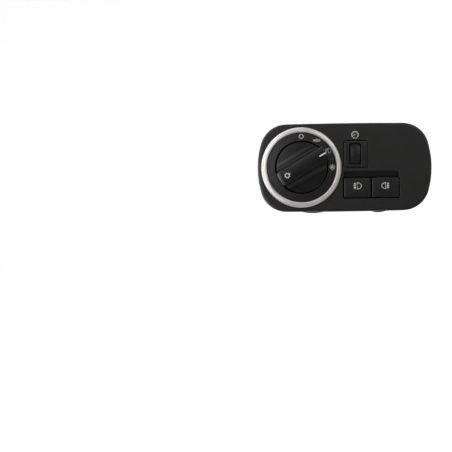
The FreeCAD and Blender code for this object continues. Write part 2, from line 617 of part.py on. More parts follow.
def pointer_space():
    """The groove for the pointer, along the bar's top and down its end."""
    half = POINTER_WIDTH / 2
    along = block(POINTER_START_RADIUS, BAR_RADIUS + 1, -half, half, BAR_TOP_Y - 1, BAR_TOP_Y + POINTER_DEPTH)
    down = block(BAR_RADIUS - POINTER_DEPTH, BAR_RADIUS + 1, -half, half, BAR_TOP_Y - 1, BAR_TOP_Y + POINTER_WRAP)
    return along.fuse(down)


def make_knob():
    """The knob's moulding: hollow under the disc and the bar, with a hub that takes the rotor's spigot."""
    rear = DIAL_Y + KNOB_SKIRT
    under = DIAL_Y + KNOB_WALL
    hollow = drum(0, 0, KNOB_RADIUS - KNOB_WALL, under, rear)
    bar_room = block(-BAR_RADIUS + 5, BAR_RADIUS - 8, KNOB_WALL - BAR_TOP_HALF_WIDTH, BAR_TOP_HALF_WIDTH - KNOB_WALL, BAR_TOP_Y + 2.4, under)
    spigot_end = DIAL_Y - SPIGOT_REACH
    hub = drum(0, 0, HUB_RADIUS, spigot_end - 1.5, rear)
    core_y = dome_y(0.0) + KNOB_WALL - 0.4
    near, far = HUB_RADIUS + 0.9, HUB_RADIUS + 4.4
    cores = [block(-KNOB_RADIUS + 6.0, KNOB_RADIUS - 6.0, min(s * near, s * far), max(s * near, s * far), core_y, under) for s in (1, -1)]
    reach = KNOB_RADIUS - KNOB_WALL + 0.3
    half = KNOB_RIB / 2
    ribs = [
        block(-reach, reach, -half, half, under - 0.2, rear - 1.2),
        block(-BAR_RADIUS + 4.8, BAR_RADIUS - 7.8, -half, half, BAR_TOP_Y + 2.2, under),
        block(-half, half, -reach, reach, core_y - 0.2, rear - 1.2),
    ]
    bore = spigot_shape(SPIGOT_RADIUS + SHAFT_CLEARANCE, SPIGOT_FLAT + SHAFT_CLEARANCE, spigot_end - 0.2, rear)
    body = knob_outside().cut([hollow, bar_room, pointer_space()] + cores)
    return swung(body.fuse([hub] + ribs).cut(bore).removeSplitter())


def make_knob_pointer():
    """The white pointer, flush with the bar's top and end."""
    return swung(knob_outside().common(pointer_space()).removeSplitter())


def spigot_shape(radius, flat, front, rear):
    """A round bar along Y with one flat, as a D."""
    return drum(0, 0, radius, front, rear).cut(block(-radius, radius, flat, radius + 1, front, rear))


def make_rotor():
    """Shaft, D spigot, detent disc with its stop tab, and the tail pin that runs in the board."""
    spigot = swung(spigot_shape(SPIGOT_RADIUS, SPIGOT_FLAT, DIAL_Y - SPIGOT_REACH, CARRIER_Y + 0.2))
    shaft = drum(DIAL_X, 0, SHAFT_RADIUS, CARRIER_Y + 0.1, ROTOR_Y)
    disc = drum(DIAL_X, 0, ROTOR_RADIUS, ROTOR_Y, ROTOR_REAR_Y)
    tail = drum(DIAL_X, 0, TAIL_PIN_RADIUS, ROTOR_REAR_Y, BOARD_REAR_Y - 0.3)
    notches = []
    for number in range(round(360 / DETENT_PITCH)):
        x, z = about_dial(NOTCH_CENTRE, 270 + number * DETENT_PITCH)
        notches.append(drum(x, z, NOTCH_RADIUS, ROTOR_Y, ROTOR_REAR_Y))
    disc = disc.cut(notches)
    reach = ROTOR_RADIUS + STOP_TAB_REACH
    tab = Part.makeCylinder(reach, ROTOR_THICKNESS / 2, Vector(0, 0, 0), Vector(0, 0, 1), 2 * STOP_TAB_HALF_ANGLE)
    tab = tab.cut(Part.makeCylinder(ROTOR_RADIUS - 1.5, ROTOR_THICKNESS / 2))
    tab.rotate(Vector(0, 0, 0), Vector(0, 0, 1), STOP_TAB_ANGLE - STOP_TAB_HALF_ANGLE)
    tab.rotate(Vector(0, 0, 0), Vector(1, 0, 0), 90)
    tab.translate(Vector(DIAL_X, ROTOR_Y + ROTOR_THICKNESS / 2, 0))
    return joined(shaft, spigot, disc, tail, tab)


def make_wiper_contacts():
    """A sprung contact plate on the rotor's rear face, with one finger and tip for each board track."""
    plate_rear = ROTOR_REAR_Y + WIPER_THICKNESS
    root = -WIPER_RADII[0]
    plate = drum(DIAL_X, 0, ROTOR_RADIUS - 1.2, ROTOR_REAR_Y, plate_rear)
    pieces = [plate.common(block(DIAL_X - 20, DIAL_X + 20, -20, root, ROTOR_REAR_Y, plate_rear))]
    tip_y = BOARD_FRONT_Y - TRACK_THICKNESS - WIPER_LIFT - 0.5
    drop = tip_y - plate_rear
    slope = -math.degrees(math.atan2(drop, -root))
    for radius in WIPER_RADII:
        finger = Part.makeBox(1.2, WIPER_THICKNESS, math.hypot(drop, root), Vector(-0.6, 0, 0))
        finger.rotate(Vector(0, 0, 0), Vector(1, 0, 0), slope)
        finger.translate(Vector(DIAL_X + radius, plate_rear - WIPER_THICKNESS / 2, root - 0.4))
        pieces.append(finger)
        pieces.append(Part.makeCylinder(0.5, 1.2, Vector(DIAL_X + radius - 0.6, tip_y, -0.3), Vector(1, 0, 0)))
    return joined(*pieces)


def make_detent_spring():
    """A leaf spring with a raised bump that drops into the rotor's notches."""
    front = ROTOR_Y + (ROTOR_THICKNESS - SPRING_WIDTH) / 2
    rear = front + SPRING_WIDTH
    inside = DETENT_BUMP_RADIUS - SPRING_THICKNESS
    low = -NOTCH_CENTRE - 2.1
    high = low + SPRING_THICKNESS
    strip = block(DIAL_X - SPRING_HALF_LENGTH, DIAL_X + SPRING_HALF_LENGTH, low, high, front, rear)
    bump = drum(DIAL_X, -NOTCH_CENTRE, DETENT_BUMP_RADIUS, front, rear)
    legs = block(DIAL_X - DETENT_BUMP_RADIUS, DIAL_X + DETENT_BUMP_RADIUS, low, -NOTCH_CENTRE, front, rear)
    inner = drum(DIAL_X, -NOTCH_CENTRE, inside, front, rear)
    gap = block(DIAL_X - inside, DIAL_X + inside, low - 1, -NOTCH_CENTRE, front, rear)
    ends = [
        block(DIAL_X + s * SPRING_HALF_LENGTH - SPRING_THICKNESS / 2, DIAL_X + s * SPRING_HALF_LENGTH + SPRING_THICKNESS / 2,
              low, low + 2.0, front, rear)
        for s in (1, -1)
    ]
    return strip.fuse([bump, legs] + ends).cut([inner, gap]).removeSplitter()


def spring_posts():
    """Two slotted posts on the carrier that hold the detent spring's ends."""
    low = -NOTCH_CENTRE - 2.1
    rear = ROTOR_REAR_Y - 0.2
    slot = SPRING_THICKNESS / 2 + 0.05
    posts = []
    for s in (1, -1):
        x = DIAL_X + s * SPRING_HALF_LENGTH
        post = block(x - 1.4, x + 1.4, low - 1.4, low + 1.8, CARRIER_REAR_Y - 0.5, rear)
        upright = block(x - slot, x + slot, low - 0.05, low + 1.9, CARRIER_REAR_Y, rear)
        inward = block(min(x, x - s * 1.5), max(x, x - s * 1.5), low - 0.05, low + SPRING_THICKNESS + 0.05, CARRIER_REAR_Y, rear)
        posts.append(post.cut([upright, inward]))
    return posts


def bearing_gusset(angle):
    """A triangular rib between the shaft bearing and the carrier's plate."""
    root = SHAFT_RADIUS + BEARING_WALL - 0.3
    corners = [(root, CARRIER_REAR_Y - 0.2), (GUSSET_RADIUS, CARRIER_REAR_Y - 0.2), (GUSSET_RADIUS, CARRIER_REAR_Y + 0.8),
               (root, ROTOR_Y - 1.5)]
    wire = Part.makePolygon([Vector(r, y, -GUSSET_THICKNESS / 2) for r, y in corners + corners[:1]])
    gusset = Part.Face(wire).extrude(Vector(0, 0, GUSSET_THICKNESS))
    gusset.rotate(Vector(0, 0, 0), OUT, angle)
    gusset.translate(Vector(DIAL_X, 0, 0))
    return gusset


def make_switch_carrier():
    """The carrier: plate, shaft bearing, button tray with stem guides, stop posts and spring posts."""
    plate = thick(housing_outline(0.0), CARRIER_Y, CARRIER_REAR_Y)
    seat = drum(DIAL_X, 0, DIAL_RADIUS + 0.3, CARRIER_Y, CARRIER_REAR_Y)
    bearing = drum(DIAL_X, 0, SHAFT_RADIUS + BEARING_WALL, CARRIER_Y, CARRIER_Y + BEARING_LENGTH)
    left, right = POCKET_LEFT - TRAY_MARGIN, POCKET_RIGHT + TRAY_MARGIN
    low, high = POCKET_BOTTOM - TRAY_MARGIN, LEDGE_BOTTOM + BUTTON_LUG_LAP + 0.35
    tray = block(left - TRAY_WALL, right + TRAY_WALL, low - TRAY_WALL, high + TRAY_WALL,
                 CARRIER_Y, TRAY_FLOOR_Y + TRAY_WALL)
    tray_room = block(left, right, low, high, CARRIER_Y, TRAY_FLOOR_Y)
    chimneys, guides = [], []
    for x0 in BUTTON_LEFT:
        x = x0 + BUTTON_WIDTH / 2
        hole = BUTTON_STEM / 2 + STEM_CLEARANCE
        wall = hole + CHIMNEY_WALL
        chimneys.append(block(x - wall, x + wall, BUTTON_MID_Z - wall, BUTTON_MID_Z + wall,
                              TRAY_FLOOR_Y, TRAY_FLOOR_Y + CHIMNEY_LENGTH))
        guides.append(block(x - hole, x + hole, BUTTON_MID_Z - hole, BUTTON_MID_Z + hole,
                            TRAY_FLOOR_Y - 1, TRAY_FLOOR_Y + CHIMNEY_LENGTH))
    post_angle = math.degrees(math.asin(STOP_POST_RADIUS / STOP_POST_CENTRE)) + STOP_TAB_HALF_ANGLE + STOP_ANGLE_GAP
    stops = [
        drum(*about_dial(STOP_POST_CENTRE, angle), STOP_POST_RADIUS, CARRIER_Y, ROTOR_Y + ROTOR_THICKNESS / 2)
        for angle in (STOP_TAB_ANGLE + TURN_TO_OFF + post_angle, STOP_TAB_ANGLE - TURN_TO_AUTO - post_angle)
    ]
    body = plate.fuse([seat, bearing, tray] + chimneys + stops + spring_posts() + [bearing_gusset(a) for a in GUSSET_ANGLES])
    wheel_chord = math.sqrt(WHEEL_RADIUS**2 - (WHEEL_Y - CARRIER_REAR_Y) ** 2) + 0.5
    ear_room = EAR_OUTER + POT_GAP
    pot_room = POT_HALF_WIDTH + 0.3
    holes = [
        tray_room,
        drum(DIAL_X, 0, SHAFT_RADIUS + SHAFT_CLEARANCE, CARRIER_Y, CARRIER_Y + BEARING_LENGTH),
        block(SLOT_X - ear_room, SLOT_X + ear_room, SLOT_Z - wheel_chord, SLOT_Z + wheel_chord, CARRIER_Y, CARRIER_REAR_Y),
        block(POT_LEFT - POT_GAP, POT_LEFT + POT_THICKNESS + 0.3, SLOT_Z - pot_room, SLOT_Z + pot_room, CARRIER_Y, CARRIER_REAR_Y),
    ]
    holes += [drum(x, z, BOSS_RADIUS + 0.3, CARRIER_Y, CARRIER_REAR_Y) for x, z in SCREW_PLACES]
    holes += [drum(*about_dial(GUIDE_LEG_PITCH_RADIUS, a), GUIDE_LEG_RADIUS + 0.3, CARRIER_Y, CARRIER_REAR_Y)
              for a in GUIDE_LEG_ANGLES]
    return body.cut(holes + guides).removeSplitter()


def make_dimmer_bezel():
    """The small bezel round the thumbwheel, with a rear flange and two ears for the axle."""
    c = DIMMER_CLEARANCE
    x0, x1 = DIMMER_LEFT + c, DIMMER_LEFT + DIMMER_WIDTH - c
    z0, z1 = DIMMER_BASE_Z + c, DIMMER_BASE_Z + DIMMER_HEIGHT - c
    front = FACE_Y - DIMMER_PROUD
    face = crowned(rounded_block(x0, x1, z0, z1, DIMMER_CORNER - c, front, CARRIER_Y), front, DIMMER_CROWN_RADIUS)
    drop = crown_drop(DIMMER_CROWN_RADIUS, z1 - z0)
    face = face.makeFillet(DIMMER_EDGE_ROUND, front_edges(face, front, drop))
    e = DIMMER_FLANGE
    flange = rounded_block(DIMMER_LEFT - e, DIMMER_LEFT + DIMMER_WIDTH + e, DIMMER_BASE_Z - e,
                           DIMMER_BASE_Z + DIMMER_HEIGHT + e, DIMMER_CORNER, WALL_Y, CARRIER_Y)
    ears = []
    for s in (1, -1):
        x = SLOT_X + s * (EAR_INNER + EAR_THICKNESS / 2)
        ears.append(block(x - EAR_THICKNESS / 2, x + EAR_THICKNESS / 2, SLOT_Z - EAR_HALF_WIDTH, SLOT_Z + EAR_HALF_WIDTH,
                          WALL_Y, WHEEL_Y + EAR_BACK))
    slot = rounded_block(SLOT_X - DIMMER_SLOT_WIDTH / 2, SLOT_X + DIMMER_SLOT_WIDTH / 2, SLOT_Z - DIMMER_SLOT_HEIGHT / 2,
                         SLOT_Z + DIMMER_SLOT_HEIGHT / 2, DIMMER_SLOT_CORNER, front - 1, CARRIER_Y)
    wheel_room = Part.makeCylinder(WHEEL_RADIUS + 0.5, DIMMER_SLOT_WIDTH, Vector(SLOT_X - DIMMER_SLOT_WIDTH / 2, WHEEL_Y, SLOT_Z),
                                   Vector(1, 0, 0))
    bearing = Part.makeCylinder(AXLE_RADIUS + SHAFT_CLEARANCE, 30.0, Vector(SLOT_X - 15.0, WHEEL_Y, SLOT_Z), Vector(1, 0, 0))
    bezel = face.fuse([flange] + ears).cut(slot).removeSplitter()
    rim = [e for e in front_edges(bezel, front, drop) if e.BoundBox.XMin > x0 + 1.0 and e.BoundBox.XMax < x1 - 1.0
           and e.BoundBox.ZMin > z0 + 1.0 and e.BoundBox.ZMax < z1 - 1.0]
    return bezel.makeFillet(DIMMER_SLOT_ROUND, rim).cut([wheel_room, bearing]).removeSplitter()


def make_dimmer_wheel():
    """The thumbwheel: a crowned rim with grip grooves, dished sides and a bore for the axle."""
    half = WHEEL_WIDTH / 2
    edge = WHEEL_RADIUS - WHEEL_CROWN
    r = WHEEL_EDGE_ROUND
    bend = r * (1 - math.sqrt(0.5))
    points = [
        (half, AXLE_RADIUS), (half, 4.0), (half - 1.4, 4.6), (half - 1.4, edge - 2.4), (half, edge - 1.8),
        (half, edge - r), (half - bend, edge - bend, half - r, edge), (0.0, WHEEL_RADIUS, r - half, edge),
        (bend - half, edge - bend, -half, edge - r), (-half, edge - 1.8), (1.4 - half, edge - 2.4),
        (1.4 - half, 4.6), (-half, 4.0), (-half, AXLE_RADIUS),
    ]
    wheel = turned([(p[1], p[0]) if len(p) == 2 else (p[1], p[0], p[3], p[2]) for p in points])
    grooves = []
    for number in range(WHEEL_GROOVES):
        groove = Part.makeBox(0.9, WHEEL_WIDTH + 2, 0.9, Vector(-0.45, -half - 1, -0.45))
        groove.rotate(Vector(0, 0, 0), Vector(0, 1, 0), 45)
        groove.translate(Vector(WHEEL_RADIUS + 0.45 * math.sqrt(2) - WHEEL_GROOVE_DEPTH, 0, 0))
        groove.rotate(Vector(0, 0, 0), Vector(0, 1, 0), (number + 0.5) * 360 / WHEEL_GROOVES)
        grooves.append(groove)
    wheel = wheel.cut(grooves).removeSplitter()
    wheel.rotate(Vector(0, 0, 0), Vector(0, 0, 1), 90)
    wheel.translate(Vector(SLOT_X, WHEEL_Y, SLOT_Z))
    return wheel


def make_dimmer_axle():
    """The steel pin through the wheel, both ears and the potentiometer."""
    left = SLOT_X - EAR_OUTER
    length = POT_LEFT + POT_THICKNESS - 0.8 - left
    return Part.makeCylinder(AXLE_RADIUS, length, Vector(left, WHEEL_Y, SLOT_Z), Vector(1, 0, 0))


def make_dimmer_potentiometer():
    """The dimmer's potentiometer: a round-topped body on a foot that stands on the board."""
    x = POT_LEFT
    head = Part.makeCylinder(POT_HALF_WIDTH, POT_THICKNESS, Vector(x, WHEEL_Y, SLOT_Z), Vector(1, 0, 0))
    foot = block(x, x + POT_THICKNESS, SLOT_Z - POT_HALF_WIDTH, SLOT_Z + POT_HALF_WIDTH, WHEEL_Y, BOARD_FRONT_Y)
    bore = Part.makeCylinder(AXLE_RADIUS + SHAFT_CLEARANCE, POT_THICKNESS - 0.6, Vector(x, WHEEL_Y, SLOT_Z), Vector(1, 0, 0))
    return head.fuse(foot).cut(bore).removeSplitter()


def make_fog_button(left):
    """A push button: rounded cap, thin skirt, guide stem with ribs, and two lugs that stop it falling out."""
    right = left + BUTTON_WIDTH
    rear = BUTTON_FRONT_Y + BUTTON_SKIRT
    under = BUTTON_FRONT_Y + BUTTON_FACE
    d = BUTTON_DRAFT
    face = rounded_rectangle(left, right, BUTTON_BOTTOM, BUTTON_TOP, BUTTON_CORNER)
    face.translate(Vector(0, BUTTON_FRONT_Y, 0))
    root = rounded_rectangle(left - d, right + d, BUTTON_BOTTOM - d, BUTTON_TOP + d, BUTTON_CORNER + d)
    root.translate(Vector(0, rear, 0))
    cap = crowned(Part.makeLoft([face, root], True, True), BUTTON_FRONT_Y, BUTTON_CROWN_RADIUS)
    drop = crown_drop(BUTTON_CROWN_RADIUS, BUTTON_TOP - BUTTON_BOTTOM)
    cap = cap.makeFillet(BUTTON_EDGE_ROUND, front_edges(cap, BUTTON_FRONT_Y, drop + 0.02))
    w = BUTTON_WALL
    cap = cap.cut(block(left + w, right - w, BUTTON_BOTTOM + w, BUTTON_TOP - w, under, rear))
    x = left + BUTTON_WIDTH / 2
    half = BUTTON_STEM / 2
    stem = block(x - half, x + half, BUTTON_MID_Z - half, BUTTON_MID_Z + half, under, STEM_END_Y)
    ribs = [
        block(left + w, right - w, BUTTON_MID_Z - 0.5, BUTTON_MID_Z + 0.5, under, rear - 1.5),
        block(x - 0.5, x + 0.5, BUTTON_BOTTOM + w, BUTTON_TOP - w, under, rear - 1.5),
    ]
    lug = BUTTON_LUG_WIDTH / 2
    low_front = WALL_Y + 0.1
    high_front = FACE_Y + LEDGE_DEPTH + LEDGE_FLOOR + 0.1
    lugs = [
        block(x - lug, x + lug, POCKET_BOTTOM - BUTTON_LUG_LAP, BUTTON_BOTTOM + w, low_front, low_front + 1.0),
        block(x - lug, x + lug, BUTTON_TOP - w, LEDGE_BOTTOM + BUTTON_LUG_LAP, high_front, high_front + 1.0),
    ]
    return joined(cap, stem, *ribs, *lugs)


def make_dome(left):
    """The rubber dome under a button: it closes the board's contact and pushes the button back."""
    x = left + BUTTON_WIDTH / 2
    top = STEM_END_Y + DOME_GAP
    base_front = BOARD_FRONT_Y - DOME_BASE
    pad = rounded_block(x - 5.5, x + 5.5, BUTTON_MID_Z - 5.5, BUTTON_MID_Z + 5.5, 1.5, base_front, BOARD_FRONT_Y)
    cone = Part.makeCone(DOME_RADIUS, 2.8, base_front - top - 0.4, Vector(x, base_front, BUTTON_MID_Z), OUT)
    crown = drum(x, BUTTON_MID_Z, 2.5, top, top + 0.4)
    room = Part.makeCone(DOME_RADIUS - 0.8, 1.9, base_front - top - 1.0, Vector(x, base_front, BUTTON_MID_Z), OUT)
    base_room = drum(x, BUTTON_MID_Z, DOME_RADIUS - 0.8, base_front, BOARD_FRONT_Y)
    return pad.fuse([cone, crown]).cut([room, base_room]).removeSplitter()


def pin_places():
    """X and Z of every connector pin."""
    return [
        (SOCKET_X + (column - (PIN_COLUMNS - 1) / 2) * PIN_PITCH, SOCKET_Z + (row - (PIN_ROWS - 1) / 2) * PIN_PITCH)
        for column in range(PIN_COLUMNS)
        for row in range(PIN_ROWS)
    ]


def make_circuit_board():
    """The board: notched round the screw tunnels, drilled for the rotor's tail, the posts and the pins."""
    x, z = INNER_HALF_X - BOARD_MARGIN, INNER_HALF_Z - BOARD_MARGIN
    board = rounded_block(-x, x, -z, z, HOUSING_CORNER - HOUSING_WALL - BOARD_MARGIN, BOARD_FRONT_Y, BOARD_REAR_Y)
    room = TUNNEL_RADIUS + 0.6
    cuts = [drum(DIAL_X, 0, TAIL_PIN_RADIUS + 0.3, BOARD_FRONT_Y, BOARD_REAR_Y)]
    for px, pz in SCREW_PLACES:
        cuts.append(drum(px, pz, room, BOARD_FRONT_Y, BOARD_REAR_Y))
        outer = math.copysign(INNER_HALF_Z, pz)
        cuts.append(block(px - room, px + room, min(pz, outer), max(pz, outer), BOARD_FRONT_Y, BOARD_REAR_Y))
    cuts += [drum(px, pz, SCREW_RADIUS + 0.2, BOARD_FRONT_Y, BOARD_REAR_Y) for px, pz in BOARD_POSTS]
    cuts += [drum(px, pz, PIN_SIDE * 0.75, BOARD_FRONT_Y, BOARD_REAR_Y) for px, pz in pin_places()]
    return board.cut(cuts).removeSplitter()


def make_contact_tracks():
    """Three gilded arcs on the board that the wiper's tips run on."""
    tracks = []
    for radius in WIPER_RADII:
        track = Part.makeCylinder(radius + 0.8, TRACK_THICKNESS, Vector(0, 0, 0), Vector(0, 0, 1), TRACK_SPAN)
        track = track.cut(Part.makeCylinder(radius - 0.8, TRACK_THICKNESS))
        track.rotate(Vector(0, 0, 0), Vector(0, 0, 1), TRACK_START)
        track.rotate(Vector(0, 0, 0), Vector(1, 0, 0), 90)
        track.translate(Vector(DIAL_X, BOARD_FRONT_Y, 0))
        tracks.append(track)
    return Part.makeCompound(tracks)


def make_board_leds():
    """The lamps on the board's front: one behind each light guide leg, one beside each dome, one by the dimmer."""
    places = [about_dial(GUIDE_LEG_PITCH_RADIUS, a) for a in GUIDE_LEG_ANGLES]
    places += [(left + BUTTON_WIDTH / 2, BUTTON_MID_Z + 8.0) for left in BUTTON_LEFT]
    places.append((SLOT_X - 9.0, SLOT_Z + 12.0))
    half = LED_SIZE / 2
    lamps = []
    for x, z in places:
        lamp = block(x - half, x + half, z - half, z + half, BOARD_FRONT_Y - LED_HEIGHT, BOARD_FRONT_Y)
        lamps.append(lamp.cut(drum(x, z, half - 0.4, BOARD_FRONT_Y - LED_HEIGHT, BOARD_FRONT_Y - 0.6)))
    return Part.makeCompound(lamps)


def make_control_chip():
    """The board's control chip: a flat body with a row of legs on each of four sides."""
    x, z, half = CHIP_X, CHIP_Z, CHIP_SIDE / 2
    top = BOARD_REAR_Y + 1.6
    body = block(x - half, x + half, z - half, z + half, BOARD_REAR_Y + 0.1, top)
    legs = []
    for number in range(8):
        across = (number - 3.5) * 1.1
        for s in (1, -1):
            near, far = sorted((s * half, s * (half + CHIP_LEG)))
            legs.append(block(x + across - 0.2, x + across + 0.2, z + near, z + far, BOARD_REAR_Y, BOARD_REAR_Y + 0.5))
            legs.append(block(x + near, x + far, z + across - 0.2, z + across + 0.2, BOARD_REAR_Y, BOARD_REAR_Y + 0.5))
    return joined(body, *legs)


def make_board_capacitors():
    """Two can capacitors on the board's rear."""
    cans = []
    for x in (8.0, 18.0):
        can = drum(x, 18.0, 3.15, BOARD_REAR_Y, BOARD_REAR_Y + 7.0)
        cans.append(can.makeChamfer(0.4, front_edges(can, BOARD_REAR_Y + 7.0)))
    return Part.makeCompound(cans)


def make_board_resistors():
    """A row of chip resistors on the board's rear."""
    return Part.makeCompound([
        block(x - 1.6, x + 1.6, -12.8, -11.2, BOARD_REAR_Y, BOARD_REAR_Y + 0.6)
        for x in [5.0 + 6.0 * n for n in range(6)]
    ])


def make_pin_header():
    """The insulating block that holds the connector pins between the board and the housing's rear wall."""
    half_x = PIN_COLUMNS * PIN_PITCH / 2 + 1.0
    half_z = PIN_ROWS * PIN_PITCH / 2 + 1.2
    body = block(SOCKET_X - half_x, SOCKET_X + half_x, SOCKET_Z - half_z, SOCKET_Z + half_z,
                 BOARD_REAR_Y, HOUSING_FLOOR_Y - 0.05)
    half = PIN_SIDE / 2
    return body.cut([block(x - half, x + half, z - half, z + half, BOARD_REAR_Y, HOUSING_FLOOR_Y) for x, z in pin_places()])


def make_connector_pins():
    """The square pins, soldered in the board and standing in the socket."""
    half = PIN_SIDE / 2
    return Part.makeCompound([
        block(x - half, x + half, z - half, z + half, BOARD_FRONT_Y - 1.2, HOUSING_REAR_Y + PIN_REACH)
        for x, z in pin_places()
    ])


def socket_shroud():
    """The open socket for the harness plug, with a coding slot below and a latch step above."""
    x0, x1 = SOCKET_X - SOCKET_WIDTH / 2, SOCKET_X + SOCKET_WIDTH / 2
    z0, z1 = SOCKET_Z - SOCKET_HEIGHT / 2, SOCKET_Z + SOCKET_HEIGHT / 2
    rear = HOUSING_REAR_Y + SOCKET_DEPTH
    w = SOCKET_WALL
    shell = rounded_block(x0, x1, z0, z1, 2.0, HOUSING_FLOOR_Y, rear)
    room = rounded_block(x0 + w, x1 - w, z0 + w, z1 - w, 0.8, HOUSING_REAR_Y, rear)
    key = block(SOCKET_X + 4.0, SOCKET_X + 7.0, z0 - 1, z0 + w + 0.5, HOUSING_REAR_Y + 4.0, rear)
    ramp = [(rear - 3.0, z1 - 0.5), (rear - 7.0, z1 - 0.5), (rear - 7.0, z1 + 1.3), (rear - 6.0, z1 + 1.3)]
    wire = Part.makePolygon([Vector(SOCKET_X - 3.0, y, z) for y, z in ramp + ramp[:1]])
    latch = Part.Face(wire).extrude(Vector(6.0, 0, 0))
    return shell.cut([room, key]).fuse(latch)


def lower_hook(x, width):
    """A rigid hook with a bowed tip under the housing that goes behind the dashboard's skin."""
    top = -HOUSING_HALF_Z + 1.0
    tip = -PANEL_HEIGHT / 2 - HOOK_PAST_PANEL
    half = width / 2
    side = tip + HOOK_TIP_RISE
    corners = [Vector(x + half, 0, side), Vector(x + half, 0, top), Vector(x - half, 0, top), Vector(x - half, 0, side)]
    edges = [Part.LineSegment(a, b).toShape() for a, b in zip(corners, corners[1:])]
    edges.append(Part.Arc(corners[-1], Vector(x, 0, tip), corners[0]).toShape())
    blade = thick(Part.Wire(edges), DASH_SKIN, DASH_SKIN + 1.6)
    rib_x = [x + s * (half - 2.0) for s in (1, 0, -1)]
    ribs = [block(rx - 0.7, rx + 0.7, side + 0.4, top, DASH_SKIN + 1.5, DASH_SKIN + HOOK_THICKNESS + 2.0) for rx in rib_x]
    return blade.fuse(ribs)


def socket_gussets():
    """Four triangular ribs that brace the socket against the housing's rear wall."""
    gussets = []
    for x in (SOCKET_X - SOCKET_WIDTH / 2 + 3.0, SOCKET_X + SOCKET_WIDTH / 2 - 3.0):
        for s in (1, -1):
            root = SOCKET_Z + s * (SOCKET_HEIGHT / 2 - 0.4)
            corners = [(HOUSING_REAR_Y - 0.3, root), (HOUSING_REAR_Y + SOCKET_GUSSET + 2.0, root),
                       (HOUSING_REAR_Y - 0.3, root + s * (SOCKET_GUSSET + 0.4))]
            wire = Part.makePolygon([Vector(x - 0.6, y, z) for y, z in corners + corners[:1]])
            gussets.append(Part.Face(wire).extrude(Vector(1.2, 0, 0)))
    return gussets


def rear_ribs():
    """Low upright ribs that stiffen the housing's rear wall."""
    half = REAR_RIB_WIDTH / 2
    reach = INNER_HALF_Z - 3.0
    return [block(x - half, x + half, -reach, reach, HOUSING_REAR_Y - 0.2, HOUSING_REAR_Y + REAR_RIB_HEIGHT) for x in REAR_RIB_X]


def make_rear_housing():
    """The housing: an open tub with screw tunnels, board posts, windows for the snap arms, hooks and socket."""
    shell = thick(housing_outline(0.0), CARRIER_REAR_Y, HOUSING_REAR_Y)
    shell = shell.makeFillet(1.5, front_edges(shell, HOUSING_REAR_Y))
    room = thick(housing_outline(HOUSING_WALL), CARRIER_REAR_Y, HOUSING_FLOOR_Y)
    shell = shell.cut(room)
    tunnels = [drum(x, z, TUNNEL_RADIUS, TUNNEL_FRONT_Y, HOUSING_FLOOR_Y + 0.5) for x, z in SCREW_PLACES]
    posts = [drum(x, z, POST_RADIUS, BOARD_REAR_Y, HOUSING_FLOOR_Y + 0.5) for x, z in BOARD_POSTS]
    hooks = [lower_hook(x, width) for x, width in zip(HOOK_X, HOOK_WIDTHS)]
    shell = shell.fuse(tunnels + posts + [socket_shroud()] + hooks + clip_seats() + socket_gussets() + rear_ribs())
    floor = TUNNEL_FRONT_Y + TUNNEL_FLOOR
    cuts = [drum(x, z, TUNNEL_RADIUS - TUNNEL_WALL, floor, HOUSING_REAR_Y) for x, z in SCREW_PLACES]
    cuts += [drum(x, z, SCREW_RADIUS + 0.3, TUNNEL_FRONT_Y, floor) for x, z in SCREW_PLACES]
    cuts += [drum(x, z, BOSS_RADIUS + 0.3, CARRIER_REAR_Y, TUNNEL_FRONT_Y) for x, z in SCREW_PLACES]
    cuts += [drum(x, z, SCREW_RADIUS + SCREW_CLEARANCE, BOARD_REAR_Y, HOUSING_FLOOR_Y - 1.0) for x, z in BOARD_POSTS]
    half = PIN_SIDE / 2 + 0.1
    cuts += [block(x - half, x + half, z - half, z + half, HOUSING_FLOOR_Y, HOUSING_REAR_Y) for x, z in pin_places()]
    half = VENT_WIDTH / 2
    cuts += [rounded_block(x - half, x + half, -VENT_HALF_HEIGHT, VENT_HALF_HEIGHT, half - 0.05,
                           HOUSING_FLOOR_Y - 0.5, HOUSING_REAR_Y + 0.5) for x in VENT_X]
    half = SNAP_ARM_WIDTH / 2 + 0.4
    for z in (SNAP_ARM_Z, -SNAP_ARM_Z):
        cuts.append(block(-HOUSING_HALF_X - 0.5, -INNER_HALF_X + 0.5, z - half, z + half, 3.9, 7.3))
    return shell.cut(cuts).removeSplitter()


def clip_seats():
    """Two low rails on the housing's top for each spring clip."""
    rails = []
    for x in HOOK_X:
        for s in (1, -1):
            edge = x + s * (CLIP_WIDTH / 2 + 0.2)
            rails.append(block(min(edge, edge + s), max(edge, edge + s), HOUSING_HALF_Z - 0.5, HOUSING_HALF_Z + 1.0, 1.0, 15.0))
    return rails


def make_upper_clips():
    """Two bent steel strips on the housing's top that spring against the dashboard's skin."""
    z0 = HOUSING_HALF_Z
    t = CLIP_THICKNESS
    path = [(14.5, 0.0), (1.5, 0.0), (1.5, t), (12.0, t), (13.3, t + 0.3), (4.6, CLIP_RISE - t), (2.9, 1.3),
            (2.4, 1.55), (4.2, CLIP_RISE), (14.5, t + 0.25)]
    wire = Part.makePolygon([Vector(0, y, z0 + z) for y, z in path + path[:1]])
    clips = []
    for x in HOOK_X:
        clip = Part.Face(wire).extrude(Vector(CLIP_WIDTH, 0, 0))
        clip.translate(Vector(x - CLIP_WIDTH / 2, 0, 0))
        clips.append(clip)
    return Part.makeCompound(clips)


